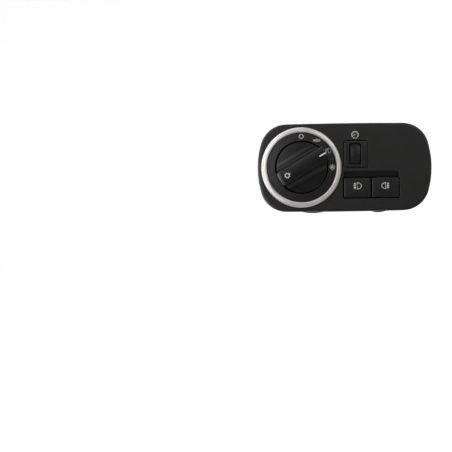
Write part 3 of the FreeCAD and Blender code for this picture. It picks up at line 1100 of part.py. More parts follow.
def screw(x, z, head_front, head_rear, tip):
    """A pan head screw along Y with a cross recess in its head."""
    length = abs(tip - head_rear)
    way = 1 if tip > head_rear else -1
    shank = Part.makeCylinder(SCREW_RADIUS, length, Vector(x, head_rear, z), Vector(0, way, 0))
    low, high = sorted((head_front, head_rear))
    head = drum(x, z, SCREW_HEAD_RADIUS, low, high)
    head = head.makeChamfer(0.6, front_edges(head, head_front))
    near, far = sorted((head_front - way * 0.1, head_front + way * 1.1))
    cross = [block(x - a, x + a, z - b, z + b, near, far) for a, b in ((1.4, 0.35), (0.35, 1.4))]
    return head.fuse(shank).cut(cross).removeSplitter()


def make_housing_screws():
    """Four screws up the tunnels into the panel's bosses."""
    seat = TUNNEL_FRONT_Y + TUNNEL_FLOOR
    return Part.makeCompound([screw(x, z, seat + SCREW_HEAD_HEIGHT, seat, WALL_Y + 1.0) for x, z in SCREW_PLACES])


def make_board_screws():
    """Four screws that hold the board on the housing's posts."""
    head = BOARD_FRONT_Y - SCREW_HEAD_HEIGHT
    return Part.makeCompound([screw(x, z, head, BOARD_FRONT_Y, BOARD_FRONT_Y + 7.0) for x, z in BOARD_POSTS])


PIECES = {
    "bezel_panel": make_bezel_panel,
    "trim_ring": make_trim_ring,
    "dial_plate": make_dial_plate,
    "dial_light_guide": make_dial_light_guide,
    "knob": make_knob,
    "knob_pointer": make_knob_pointer,
    "rotor": make_rotor,
    "wiper_contacts": make_wiper_contacts,
    "detent_spring": make_detent_spring,
    "switch_carrier": make_switch_carrier,
    "dimmer_bezel": make_dimmer_bezel,
    "dimmer_wheel": make_dimmer_wheel,
    "dimmer_axle": make_dimmer_axle,
    "dimmer_potentiometer": make_dimmer_potentiometer,
    "front_fog_button": lambda: make_fog_button(BUTTON_LEFT[0]),
    "rear_fog_button": lambda: make_fog_button(BUTTON_LEFT[1]),
    "front_fog_dome": lambda: make_dome(BUTTON_LEFT[0]),
    "rear_fog_dome": lambda: make_dome(BUTTON_LEFT[1]),
    "circuit_board": make_circuit_board,
    "contact_tracks": make_contact_tracks,
    "board_leds": make_board_leds,
    "control_chip": make_control_chip,
    "board_capacitors": make_board_capacitors,
    "board_resistors": make_board_resistors,
    "pin_header": make_pin_header,
    "connector_pins": make_connector_pins,
    "rear_housing": make_rear_housing,
    "housing_screws": make_housing_screws,
    "board_screws": make_board_screws,
    "upper_clips": make_upper_clips,
}

os.makedirs("parts", exist_ok=True)
for name, make in PIECES.items():
    shape = make()
    shape.exportStep(f"parts/{name}.step")
    print(f"{name}: {len(shape.Solids)} solid(s), {shape.Volume:.1f} mm3, valid {shape.isValid()}")
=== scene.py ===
"""Looks of the headlight switch: finishes for every CAD piece, printed lamp symbols, studio and camera.

Lengths that belong to the object are written in millimetres and turned to metres where a mesh is made.
X runs to the driver's right, Z up, and the driver sits on the side of negative Y.
"""

from __future__ import annotations

import json
import logging
import math
from collections.abc import Sequence
from dataclasses import dataclass
from enum import Enum
from typing import Any

import bmesh
import bpy
from mathutils import Matrix, Vector
from mathutils.bvhtree import BVHTree

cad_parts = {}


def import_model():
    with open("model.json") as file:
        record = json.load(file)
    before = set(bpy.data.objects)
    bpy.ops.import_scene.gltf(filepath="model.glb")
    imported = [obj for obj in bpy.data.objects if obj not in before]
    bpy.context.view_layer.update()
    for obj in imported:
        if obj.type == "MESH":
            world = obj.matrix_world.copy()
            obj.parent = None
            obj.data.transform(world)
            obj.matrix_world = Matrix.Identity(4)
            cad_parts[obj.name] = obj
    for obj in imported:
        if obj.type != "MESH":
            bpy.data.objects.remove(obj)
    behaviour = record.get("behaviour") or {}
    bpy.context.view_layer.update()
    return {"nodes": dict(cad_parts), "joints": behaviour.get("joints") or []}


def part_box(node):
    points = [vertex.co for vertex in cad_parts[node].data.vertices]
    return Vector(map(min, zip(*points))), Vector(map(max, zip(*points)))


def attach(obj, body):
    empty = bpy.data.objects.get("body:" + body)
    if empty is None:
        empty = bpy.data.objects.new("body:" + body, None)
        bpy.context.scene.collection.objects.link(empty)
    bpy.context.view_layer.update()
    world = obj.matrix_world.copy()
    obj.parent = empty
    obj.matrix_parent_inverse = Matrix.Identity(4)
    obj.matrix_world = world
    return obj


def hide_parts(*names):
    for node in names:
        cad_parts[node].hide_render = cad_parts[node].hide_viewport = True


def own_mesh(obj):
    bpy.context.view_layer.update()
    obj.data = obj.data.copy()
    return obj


LOG = logging.getLogger("headlight_switch")
MM = 0.001
WHITE = (1.0, 1.0, 1.0, 1.0)
BLACK = (0.0, 0.0, 0.0, 1.0)
MIX_A, MIX_B, MIXED = 6, 7, 2  # a Mix node's two colours, and the colour that comes out
Point = tuple[float, float]
Corner = tuple[float, float, float]
Tree, Node, Socket = bpy.types.NodeTree, bpy.types.Node, bpy.types.NodeSocket
Material, Piece = bpy.types.Material, bpy.types.Object


def linear(hex_colour: str) -> tuple[float, float, float, float]:
    """Turns an sRGB hex colour to the linear values that a shader takes.

    Args:
        hex_colour: Colour such as "#1c1c1e".

    Returns:
        Linear red, green, blue and an alpha of 1.
    """
    channels = [int(hex_colour[i : i + 2], 16) / 255 for i in (1, 3, 5)]
    red, green, blue = (c / 12.92 if c <= 0.04045 else ((c + 0.055) / 1.055) ** 2.4 for c in channels)
    return red, green, blue, 1.0


def feed(tree: Tree, node: Node, inputs: dict[Any, Any]) -> None:
    """Sets or links a node's inputs.

    Args:
        tree: The node's tree.
        node: The node.
        inputs: Input name or number to a value, an output socket, or a node that gives its first output.
    """
    for key, value in inputs.items():
        if isinstance(value, Node):
            value = value.outputs[0]
        if isinstance(value, Socket):
            tree.links.new(value, node.inputs[key])
        else:
            node.inputs[key].default_value = value


def add_node(tree: Tree, kind: str, inputs: dict[Any, Any] | None = None, **settings: Any) -> Node:
    """Adds one node, sets its properties, and sets or links its inputs.

    Args:
        tree: Node tree that takes the node.
        kind: Blender's name of the node type, after "ShaderNode".
        inputs: What goes into it, as for feed.
        **settings: Properties of the node itself.

    Returns:
        The new node.
    """
    node = tree.nodes.new("ShaderNode" + kind)
    for name, value in settings.items():
        setattr(node, name, value)
    feed(tree, node, inputs or {})
    return node


def new_material(name: str) -> tuple[Material, Tree, Node]:
    """Starts a material.

    Args:
        name: Its name.

    Returns:
        The material, its node tree and its Principled shader.
    """
    material = bpy.data.materials.new(name)
    material.use_nodes = True
    tree = material.node_tree
    return material, tree, next(node for node in tree.nodes if node.type == "BSDF_PRINCIPLED")


def object_space(tree: Tree) -> Socket:
    """Gives the socket of a point's place on its object, in metres."""
    return add_node(tree, "TexCoord").outputs["Object"]


def rays_of(tree: Tree, *kinds: str) -> Socket:
    """Tells some kinds of ray from the rest.

    Args:
        tree: Tree of a material or of the world.
        *kinds: Light Path's names for the kinds, such as "Is Glossy Ray".

    Returns:
        Socket that is 1 for a ray of one of the kinds.
    """
    path = add_node(tree, "LightPath").outputs
    found = path[kinds[0]]
    for kind in kinds[1:]:
        found = add_node(tree, "Math", {0: found, 1: path[kind]}, operation="MAXIMUM").outputs["Value"]
    return found


def add_object(name: str, data: bpy.types.ID) -> Piece:
    """Puts a mesh, a lamp or a camera in the scene.

    Args:
        name: The object's name.
        data: What it shows.

    Returns:
        The new object.
    """
    thing = bpy.data.objects.new(name, data)
    bpy.context.scene.collection.objects.link(thing)
    return thing


@dataclass(frozen=True)
class MouldedPlastic:
    """Injection moulded thermoplastic: the tool's grain breaks up the gloss, and flow leaves slight changes of shade.

    Attributes:
        name: Material's name.
        colour: Mean colour.
        light: Colour of the paler patches.
        roughness: Roughness of the moulded skin.
        gloss: Specular level, below 0.5 where a fine grain swallows the reflection.
        grain_mm: Width of one grain of the tool's texture.
        grain_depth: Strength of the grain in the bump, from 0 to 1.
        scuffs: Share of the pale scuffs mixed in, from 0 to 1.
        see_through: Subsurface weight, for natural unfilled plastics.
        sunk_mm: Two corners of the box round a sunk floor, where painted shade makes the colour blacker and the gloss
            lower.
    """

    name: str
    colour: str
    light: str
    roughness: float
    gloss: float = 0.5
    grain_mm: float = 0.25
    grain_depth: float = 0.25
    scuffs: float = 0.0
    see_through: float = 0.0
    sunk_mm: tuple[Corner, Corner] | None = None

    IOR = 1.5
    PATCH_MM = 9.0  # width of a patch of paler moulding
    PATCH_EDGE = {"From Min": 0.35, "From Max": 0.7}  # where in the noise one shade turns to the other
    ROUGHER = (-0.05, 0.06)  # change of the roughness from patch to patch
    GRAIN_RISE = 0.35  # height of a grain for its width
    BLEED = (1.0, 0.9, 0.8)  # how far red, green and blue light bleeds, times the next value
    BLEED_MM = 1.5
    SCUFF_MM = 1.6  # width of a rub mark
    SCUFF_STRETCH = (0.25, 1.0, 1.6)  # a mark is four times as long as it is wide
    SCUFF_TURN = (0.0, 0.5, 0.0)  # and it slants, in radians
    SCUFF_EDGE = {"From Min": 0.62, "From Max": 0.75}  # only the noise's peaks mark the skin
    SCUFFED_MM = 26.0  # width of a rubbed area
    SCUFFED_EDGE = {"From Min": 0.5, "From Max": 0.65}
    SCUFF_COLOUR = "#8c8c88"
    # Painted shade: the sunk floor's lower gloss and blacker colour stand in for the shade in its recess.
    PAINTED_SHADE_GLOSS = 0.75  # gloss of the sunk floor, as a share of the rest
    PAINTED_SHADE_COLOUR = "#101010"

    def build(self) -> Material:
        """Makes the material.

        Returns:
            The material.
        """
        material, tree, shader = new_material(self.name)
        place = object_space(tree)
        patches = add_node(
            tree, "TexNoise", {"Vector": place, "Scale": 1 / (self.PATCH_MM * MM), "Detail": 4.0, "Roughness": 0.6},
        )
        spread = add_node(tree, "MapRange", {"Value": patches, **self.PATCH_EDGE})
        colour = add_node(
            tree, "Mix", {"Factor": spread, MIX_A: linear(self.colour), MIX_B: linear(self.light)}, data_type="RGBA",
        ).outputs[MIXED]
        if self.scuffs:
            colour = self.scuffed(tree, place, colour)
        gloss = self.gloss
        # Painted shade: inside the sunk floor's box the colour turns blacker and the gloss lower.
        if self.sunk_mm:
            painted_shade_mask = self.sunk(tree, place)
            gloss = add_node(tree, "MapRange", {"Value": painted_shade_mask, "To Min": gloss, "To Max": gloss * self.PAINTED_SHADE_GLOSS})
            colour = add_node(
                tree, "Mix", {"Factor": painted_shade_mask, MIX_A: colour, MIX_B: linear(self.PAINTED_SHADE_COLOUR)}, data_type="RGBA",
            ).outputs[MIXED]
        low, high = (self.roughness + change for change in self.ROUGHER)
        rough = add_node(tree, "MapRange", {"Value": patches, "To Min": low, "To Max": high})
        grain = add_node(tree, "TexNoise", {"Vector": place, "Scale": 1 / (self.grain_mm * MM), "Detail": 2.0})
        rise = self.grain_mm * MM * self.GRAIN_RISE
        bump = add_node(tree, "Bump", {"Strength": self.grain_depth, "Distance": rise, "Height": grain})
        feed(tree, shader, {
            "Base Color": colour, "Specular IOR Level": gloss, "IOR": self.IOR, "Roughness": rough, "Normal": bump,
        })
        if self.see_through:
            feed(tree, shader, {
                "Subsurface Weight": self.see_through, "Subsurface Radius": self.BLEED,
                "Subsurface Scale": self.BLEED_MM * MM,
            })
        return material

    def sunk(self, tree: Tree, place: Socket) -> Node:
        """Tells the sunk floor, which gets painted shade, from the rest.

        Args:
            tree: The material's tree.
            place: Socket of the point's place.

        Returns:
            Node that gives 1 inside the box of the sunk floor and 0 outside.
        """
        axes = add_node(tree, "SeparateXYZ", {"Vector": place}).outputs
        painted_shade_mask = 1.0
        for axis, low, high in zip("XYZ", *self.sunk_mm):
            span = {0: axes[axis], 1: (low + high) / 2 * MM, 2: (high - low) / 2 * MM}
            within = add_node(tree, "Math", span, operation="COMPARE")
            painted_shade_mask = add_node(tree, "Math", {0: painted_shade_mask, 1: within}, operation="MULTIPLY")
        return painted_shade_mask

    def scuffed(self, tree: Tree, place: Socket, colour: Socket) -> Socket:
        """Mixes short pale rub marks into a colour.

        Args:
            tree: The material's tree.
            place: Socket of the point's place.
            colour: Socket of the colour so far.

        Returns:
            Socket of the scuffed colour.
        """
        drawn = add_node(tree, "Mapping", {"Vector": place, "Rotation": self.SCUFF_TURN, "Scale": self.SCUFF_STRETCH})
        marks = add_node(
            tree, "TexNoise", {"Vector": drawn, "Scale": 1 / (self.SCUFF_MM * MM), "Detail": 5.0, "Roughness": 0.7},
        )
        where = add_node(tree, "TexNoise", {"Vector": place, "Scale": 1 / (self.SCUFFED_MM * MM), "Detail": 1.0})
        thin = add_node(tree, "MapRange", {"Value": marks, **self.SCUFF_EDGE})
        area = add_node(tree, "MapRange", {"Value": where, "To Max": self.scuffs, **self.SCUFFED_EDGE})
        amount = add_node(tree, "Math", {0: thin, 1: area}, operation="MULTIPLY")
        return add_node(
            tree, "Mix", {"Factor": amount, MIX_A: colour, MIX_B: linear(self.SCUFF_COLOUR)}, data_type="RGBA",
        ).outputs[MIXED]


@dataclass(frozen=True)
class SatinMetalPaint:
    """Aluminium-flake paint on moulded plastic: a soft broad sheen, with a sparkle from the flakes.

    Attributes:
        name: Material's name.
        colour: Paint's colour.
        shade: Colour between the flakes.
        roughness: Roughness of the lacquer over the flakes.
        flake_mm: Size of a flake, drawn about four times too coarse so that it shows.
        cover: Share of the surface that flakes cover; the rest is grey binder.
    """

    name: str
    colour: str
    shade: str
    roughness: float
    flake_mm: float
    cover: float

    CLOUD_MM = 5.0  # width of a rougher or smoother patch of lacquer
    ROUGHER = 0.05
    FLAKE_BUMP = 0.12
    FLAKE_RISE_MM = 0.02

    def build(self) -> Material:
        """Makes the material.

        Returns:
            The material.
        """
        material, tree, shader = new_material(self.name)
        place = object_space(tree)
        flakes = add_node(tree, "TexVoronoi", {"Vector": place, "Scale": 1 / (self.flake_mm * MM)})
        bright = add_node(tree, "MapRange", {"Value": flakes.outputs["Color"]})
        mixed = add_node(
            tree, "Mix", {"Factor": bright, MIX_A: linear(self.shade), MIX_B: linear(self.colour)}, data_type="RGBA",
        )
        cloud = add_node(tree, "TexNoise", {"Vector": place, "Scale": 1 / (self.CLOUD_MM * MM), "Detail": 3.0})
        low, high = self.roughness - self.ROUGHER, self.roughness + self.ROUGHER
        rough = add_node(tree, "MapRange", {"Value": cloud, "To Min": low, "To Max": high})
        bare = add_node(tree, "Math", {0: bright, 1: 1 - self.cover}, operation="GREATER_THAN")
        bump = add_node(
            tree, "Bump",
            {"Strength": self.FLAKE_BUMP, "Distance": self.FLAKE_RISE_MM * MM, "Height": flakes.outputs["Distance"]},
        )
        feed(tree, shader, {
            "Base Color": mixed.outputs[MIXED], "Metallic": bare, "Roughness": rough, "Normal": bump,
        })
        return material


@dataclass(frozen=True)
class PlainMetal:
    """Rolled, drawn or plated metal: fine lines along the rolling direction and clouded plating.

    Attributes:
        name: Material's name.
        colour: Metal's colour.
        tint: Colour of the cloudier patches.
        roughness: Mean roughness.
        line_mm: Spacing of the drawing lines.
    """

    name: str
    colour: str
    tint: str
    roughness: float
    line_mm: float = 0.15

    CLOUD_MM = 2.0
    LINE_STRETCH = (0.05, 1.0, 1.0)  # a line is twenty times as long as it is wide
    LINE_BUMP = 0.1
    LINE_RISE_MM = 0.02

    def build(self) -> Material:
        """Makes the material.

        Returns:
            The material.
        """
        material, tree, shader = new_material(self.name)
        place = object_space(tree)
        cloud = add_node(tree, "TexNoise", {"Vector": place, "Scale": 1 / (self.CLOUD_MM * MM), "Detail": 3.0})
        mixed = add_node(
            tree, "Mix", {"Factor": cloud, MIX_A: linear(self.colour), MIX_B: linear(self.tint)}, data_type="RGBA",
        )
        drawn = add_node(tree, "Mapping", {"Vector": place, "Scale": self.LINE_STRETCH})
        lines = add_node(tree, "TexNoise", {"Vector": drawn, "Scale": 1 / (self.line_mm * MM)})
        bump = add_node(
            tree, "Bump", {"Strength": self.LINE_BUMP, "Distance": self.LINE_RISE_MM * MM, "Height": lines},
        )
        feed(tree, shader, {
            "Base Color": mixed.outputs[MIXED], "Metallic": 1.0, "Roughness": self.roughness, "Normal": bump,
        })
        return material


@dataclass(frozen=True)
class ClearAcrylic:
    """Clear moulded PMMA: a light guide that shows faint flow lines.

    Attributes:
        name: Material's name.
        colour: Faint tint of the acrylic.
    """

    name: str
    colour: str

    IOR = 1.49
    CLEAR = 0.9  # share of the light that goes through
    FLOW_MM = 3.0  # spacing of the flow lines
    ROUGHNESS = (0.04, 0.14)  # between the flow lines and on them

    def build(self) -> Material:
        """Makes the material.

        Returns:
            The material.
        """
        material, tree, shader = new_material(self.name)
        place = object_space(tree)
        flow = add_node(tree, "TexNoise", {"Vector": place, "Scale": 1 / (self.FLOW_MM * MM), "Detail": 2.0})
        low, high = self.ROUGHNESS
        rough = add_node(tree, "MapRange", {"Value": flow, "To Min": low, "To Max": high})
        feed(tree, shader, {
            "Base Color": linear(self.colour), "Transmission Weight": self.CLEAR, "IOR": self.IOR, "Roughness": rough,
        })
        return material


@dataclass(frozen=True)
class SolderMask:
    """Glass-epoxy board under a green lacquer, which shows the copper lines below it as paler green.

    Attributes:
        name: Material's name.
        colour: Lacquer over bare board.
        track: Lacquer over copper.
        pitch_mm: Spacing of the copper lines.
    """

    name: str
    colour: str
    track: str
    pitch_mm: float

    ROWS = 4  # copper lines in one repeat of the pattern
    LINE_SHARE = 0.06
    BUMP = 0.3
    COPPER_MM = 0.035  # thickness of the copper under the lacquer
    ROUGHNESS = 0.3

    def build(self) -> Material:
        """Makes the material.

        Returns:
            The material.
        """
        material, tree, shader = new_material(self.name)
        place = object_space(tree)
        routes = add_node(
            tree, "TexBrick",
            {"Vector": place, "Scale": 1 / (self.pitch_mm * self.ROWS * MM), "Mortar Size": self.LINE_SHARE,
             "Color1": BLACK, "Color2": BLACK, "Mortar": WHITE, "Brick Width": 0.9, "Row Height": 1 / self.ROWS},
        ).outputs["Fac"]
        mixed = add_node(
            tree, "Mix", {"Factor": routes, MIX_A: linear(self.colour), MIX_B: linear(self.track)}, data_type="RGBA",
        )
        bump = add_node(tree, "Bump", {"Strength": self.BUMP, "Distance": self.COPPER_MM * MM, "Height": routes})
        feed(tree, shader, {"Base Color": mixed.outputs[MIXED], "Roughness": self.ROUGHNESS, "Normal": bump})
        return material


@dataclass(frozen=True)
class PadPrint:
    """Two-part pad printing ink: nearly matt, a little uneven where the pad lifted.

    Attributes:
        name: Material's name.
        colour: Ink's colour.
        thin: Colour where the ink is thin.
    """

    name: str
    colour: str
    thin: str

    PATCH_MM = 0.7  # width of a patch of thicker or thinner ink
    ROUGHNESS = 0.55

    def build(self) -> Material:
        """Makes the material.

        Returns:
            The material.
        """
        material, tree, shader = new_material(self.name)
        place = object_space(tree)
        patches = add_node(tree, "TexNoise", {"Vector": place, "Scale": 1 / (self.PATCH_MM * MM), "Detail": 3.0})
        mixed = add_node(
            tree, "Mix", {"Factor": patches, MIX_A: linear(self.colour), MIX_B: linear(self.thin)}, data_type="RGBA",
        )
        feed(tree, shader, {"Base Color": mixed.outputs[MIXED], "Roughness": self.ROUGHNESS})
        return material


class Finish(Enum):
    """Every finish on the switch, named for what the real one is."""

    # Injection moulded ABS off a spark-eroded tool: the fine grain turns a lamp's image to a wide soft sheen.
    # The floor sunk above the fog lamp buttons gets painted shade: a blacker colour and a lower gloss stand in for
    # the shade in its recess.
    GRAINED_ABS = MouldedPlastic(
        "panel_grained_black_abs", "#141413", "#181817", 0.5, 0.5, 0.22, 0.25, 0.35,
        sunk_mm=((-3.0, -7.6, -8.5), (43.0, -4.0, -3.2)),
    )
    # Polycarbonate painted black, with symbols that can be lit: smoother, so its dome shows more of a gradient.
    DIAL_PC = MouldedPlastic("dial_black_painted_polycarbonate", "#171616", "#1b1a1a", 0.44, 0.45, 0.18, 0.15, 0.15)
    # Moulded ABS that fingers have polished: the tightest sheen of the black pieces, so the bar's edges shine.
    KNOB_ABS = MouldedPlastic("knob_moulded_black_abs", "#161616", "#191a19", 0.34, 0.45, 0.16, 0.12, 0.15)
    # Moulded ABS with a coat of soft black paint: darker than the panel where it turns away from the light.
    BUTTON_ABS = MouldedPlastic("button_painted_black_abs", "#0f0f10", "#131314", 0.44, 0.55, 0.2, 0.15, 0.15)
    # Polyamide moulding: waxy and dull, as the grooves' flanks scatter what little it reflects.
    WHEEL_PA = MouldedPlastic("wheel_moulded_black_polyamide", "#151514", "#191918", 0.5, 0.4, 0.2, 0.2)
    # Aluminium-flake paint under satin lacquer: half mirror and half chalk, so it shades gently round the ring.
    RING_PAINT = SatinMetalPaint("ring_satin_aluminium_paint", "#e9e6e2", "#dcd9d4", 0.4, 0.12, 0.45)
    # Natural white polycarbonate: light enters and comes out again, so the pointer is bright on every side.
    POINTER_PC = MouldedPlastic(
        "pointer_white_polycarbonate", "#f0eee6", "#e4e2da", 0.4, 0.5, 0.3, 0.05, see_through=0.2,
    )
    # Opaque pad print in one pass: flat warm white.
    WHITE_INK = PadPrint("symbol_white_pad_print", "#e6e5de", "#c8c7c0")
    # The same ink laid thinner, where the black shows through.
    THIN_INK = PadPrint("symbol_thin_pad_print", "#d2d1c8", "#b8b7af")
    # The same ink rubbed down to a grey film.
    GREY_INK = PadPrint("symbol_rubbed_pad_print", "#b4b3ab", "#999891")
    # Polyamide with a third of glass fibre: fibres near the skin leave pale swirls and a rougher sheen.
    HOUSING_PA = MouldedPlastic("housing_glass_filled_polyamide", "#1b1b1d", "#252528", 0.5, 0.45, 0.6, 0.4, 0.25)
    # Polyester moulding off a plain tool: an even, slightly greasy black.
    CARRIER_PBT = MouldedPlastic("carrier_moulded_black_polyester", "#161617", "#1e1e1f", 0.5, 0.42, 0.4, 0.25)
    # Natural acetal: creamy, with light bleeding through thin walls.
    ROTOR_POM = MouldedPlastic("rotor_natural_acetal", "#cfccc2", "#dad7cd", 0.38, 0.5, 0.4, 0.1, see_through=0.3)
    # Polished clear acrylic: nearly colourless, bright only at its edges.
    GUIDE_PMMA = ClearAcrylic("light_guide_clear_acrylic", "#f2f7fa")
    # Cold rolled stainless strip: fine lines along the strip, with a warm grey gloss.
    SPRING_STEEL = PlainMetal("spring_rolled_stainless_steel", "#b4b2ad", "#a19e98", 0.3)
    # Bright zinc over turned steel: bluish, with yellow clouds.
    ZINC_STEEL = PlainMetal("screw_zinc_plated_steel", "#b9bcc0", "#a6a698", 0.34, 0.3)
    # Gold flash on bronze: warm and bright even in the housing's shade.
    GILT_BRONZE = PlainMetal("contact_gilded_bronze", "#d8b560", "#c9a24e", 0.28)
    # Hot tinned brass: a soft white shine with slight ripples.
    TINNED_BRASS = PlainMetal("pin_tinned_brass", "#c9c9c6", "#b7b6b0", 0.3)
    # Drawn aluminium can: a cool, even shine.
    CAN_ALUMINIUM = PlainMetal("capacitor_drawn_aluminium", "#c4c6c8", "#b4b6b8", 0.32)
    # Green lacquer over glass epoxy: glossy, with the copper lines raised and paler.
    BOARD_FR4 = SolderMask("board_green_solder_mask", "#12462a", "#1e6a3e", 0.9)
    # Translucent silicone: dull and milky.
    SILICONE = MouldedPlastic("dome_moulded_silicone", "#cfcdc4", "#dcdad2", 0.6, 0.4, 0.4, 0.1, see_through=0.5)
    # Moulded epoxy: a fine sandy matt.
    CHIP_EPOXY = MouldedPlastic("chip_moulded_epoxy", "#1c1c1c", "#272727", 0.6, 0.4, 0.15, 0.3)
    # White lamp package: a bright, slightly glossy cream.
    LAMP_CERAMIC = MouldedPlastic("lamp_white_package", "#e8e4d2", "#f2efdf", 0.4, 0.5, 0.3, 0.05)
    # Glazed ceramic chip: small hard highlights.
    RESISTOR_CERAMIC = MouldedPlastic("resistor_glazed_ceramic", "#20201f", "#2e2d2b", 0.35, 0.5, 0.2, 0.1)
    # Polyester header: like the carrier, a touch glossier.
    HEADER_PBT = MouldedPlastic("header_moulded_polyester", "#1e1e1e", "#282828", 0.45, 0.45, 0.3, 0.2)


class Wardrobe:
    """Builds each finish once and puts it on pieces."""

    def __init__(self) -> None:
        """Starts with no finish made."""
        self.made: dict[Finish, Material] = {}

    def dress(self, piece: Piece, finish: Finish) -> None:
        """Puts a finish, made on its first use, on a piece in place of whatever it had.

        Args:
            piece: Object with a mesh.
            finish: Its finish.
        """
        if finish not in self.made:
            self.made[finish] = finish.value.build()
        piece.data.materials.clear()
        piece.data.materials.append(self.made[finish])
        LOG.info("%s: %s", piece.name, finish.value.name)


@dataclass(frozen=True)
class Stroke:
    """One printed line of a symbol, in the symbol's own millimetres, X to the right and Z up.

    Attributes:
        points: The line's centre points.
        width: Line's width.
        closed: Whether the last point joins the first.
    """

    points: tuple[Point, ...]
    width: float
    closed: bool = False


# Edges in a ring, an arc, a lamp's back and a fog line, and how often that line swings there and back.
RING_STEPS = 40
ARC_STEPS = 29
SHELL_STEPS = 14
WAVE_STEPS = 16
WAVE_TURNS = 1.5


def arc(radius: float, width: float, start: float = 0.0, end: float = 360.0) -> Stroke:
    """Draws a ring about the symbol's middle, or part of one.

    Args:
        radius: Radius to the line's middle.
        width: Line's width.
        start: Angle of the first end, in degrees from the right, anticlockwise.
        end: Angle of the other end.

    Returns:
        The stroke, closed where it is a whole ring.
    """
    whole = end - start == 360
    steps = RING_STEPS if whole else ARC_STEPS
    turn = [math.radians(start + (end - start) * i / steps) for i in range(steps if whole else steps + 1)]
    return Stroke(tuple((radius * math.cos(t), radius * math.sin(t)) for t in turn), width, whole)


def rays(x: float, inner: float, outer: float, angles: list[float], width: float) -> list[Stroke]:
    """Draws straight rays about a point.

    Args:
        x: Centre, across.
        inner: Radius where a ray starts.
        outer: Radius where it ends.
        angles: Directions, in degrees from the right, anticlockwise.
        width: Line's width.

    Returns:
        One stroke for each ray.
    """
    ways = [(math.cos(math.radians(a)), math.sin(math.radians(a))) for a in angles]
    return [Stroke(((x + c * inner, s * inner), (x + c * outer, s * outer)), width) for c, s in ways]


def lamp_shell(x: float, half: float, depth: float, width: float, facing: int) -> Stroke:
    """Draws a headlamp in section: a flat lens and a round back.

    Args:
        x: Place of the lens.
        half: Half the lens's height.
        depth: Lens to the back's crown.
        width: Line's width.
        facing: -1 where the lens faces left, 1 where it faces right.

    Returns:
        The closed stroke.
    """
    turn = [math.pi * i / SHELL_STEPS for i in range(SHELL_STEPS + 1)]
    back = [(x - facing * depth * math.sin(t), half * math.cos(t)) for t in turn]
    return Stroke(tuple(back), width, True)


def beams(start: float, end: float, drop: float, heights: list[float], width: float) -> list[Stroke]:
    """Draws light beams as parallel lines.

    Args:
        start: Place where a beam leaves the lamp.
        end: Place of its far end.
        drop: How far the far end lies below the near end.
        heights: Height of each beam at the lamp.
        width: Line's width.

    Returns:
        One stroke for each beam.
    """
    return [Stroke(((start, h), (end, h - drop)), width) for h in heights]


def wave(x: float, half: float, swing: float, width: float) -> Stroke:
    """Draws the upright wavy line that stands for fog.

    Args:
        x: Place, across.
        half: Half its height.
        swing: How far it swings to each side.
        width: Line's width.

    Returns:
        The stroke.
    """
    steps = [i / WAVE_STEPS for i in range(WAVE_STEPS + 1)]
    return Stroke(
        tuple((x + swing * math.sin(2 * WAVE_TURNS * math.pi * t), half * (1 - 2 * t)) for t in steps), width,
    )


class LampSymbol(Enum):
    """The lamp symbols, each with its strokes about its own middle."""

    OFF = (arc(1.56, 0.4),)
    SIDE_LIGHTS = (
        lamp_shell(-0.3, 0.85, 1.0, 0.34, 1),
        lamp_shell(0.3, 0.85, 1.0, 0.34, -1),
        *rays(-1.2, 0.55, 1.45, [145, 180, 215], 0.34),
        *rays(1.2, 0.55, 1.45, [-35, 0, 35], 0.34),
    )
    DIPPED_BEAM = (
        lamp_shell(0.1, 1.9, 2.0, 0.36, -1),
        *beams(-0.5, -2.2, 0.45, [1.5, 0.7, -0.1], 0.42),
    )
    AUTOMATIC = (
        Stroke(((-0.9, -0.9), (0.0, 1.5), (0.9, -0.9)), 0.6),
        Stroke(((-0.5, -0.2), (0.5, -0.2)), 0.5),
        arc(1.7, 0.34, 200, 340),
        *rays(0, 1.5, 2.2, [90, 45, 135, 5, 175, 270], 0.42),
    )
    ALL_LAMPS = (
        arc(1.42, 0.54),
        *rays(0, 1.6, 2.0, [25 + 45 * i for i in range(8)], 0.56),
        *rays(0, 1.6, 2.5, [38], 0.7),
    )
    DIMMER = (
        arc(2.45, 0.46, -50, 230),
        Stroke(((0.15, 0.2), (-1.15, -0.45)), 0.4),
        *rays(0, 1.45, 1.75, [200, 155, 110, 70, 30, -10], 0.22),
        *rays(0, 2.5, 2.85, [248, 270, 292], 0.46),
    )
    FRONT_FOG = (
        lamp_shell(-0.25, 2.35, 3.1, 0.4, -1),
        *beams(-1.35, -2.85, 0.35, [1.75, 0.4, -0.95], 0.5),
        wave(-2.05, 2.3, 0.2, 0.5),
    )
    REAR_FOG = (
        lamp_shell(0.05, 2.2, 3.0, 0.4, 1),
        *beams(1.1, 2.4, 0.0, [1.35, 0.0, -1.35], 0.5),
        wave(1.75, 2.1, 0.2, 0.55),
    )


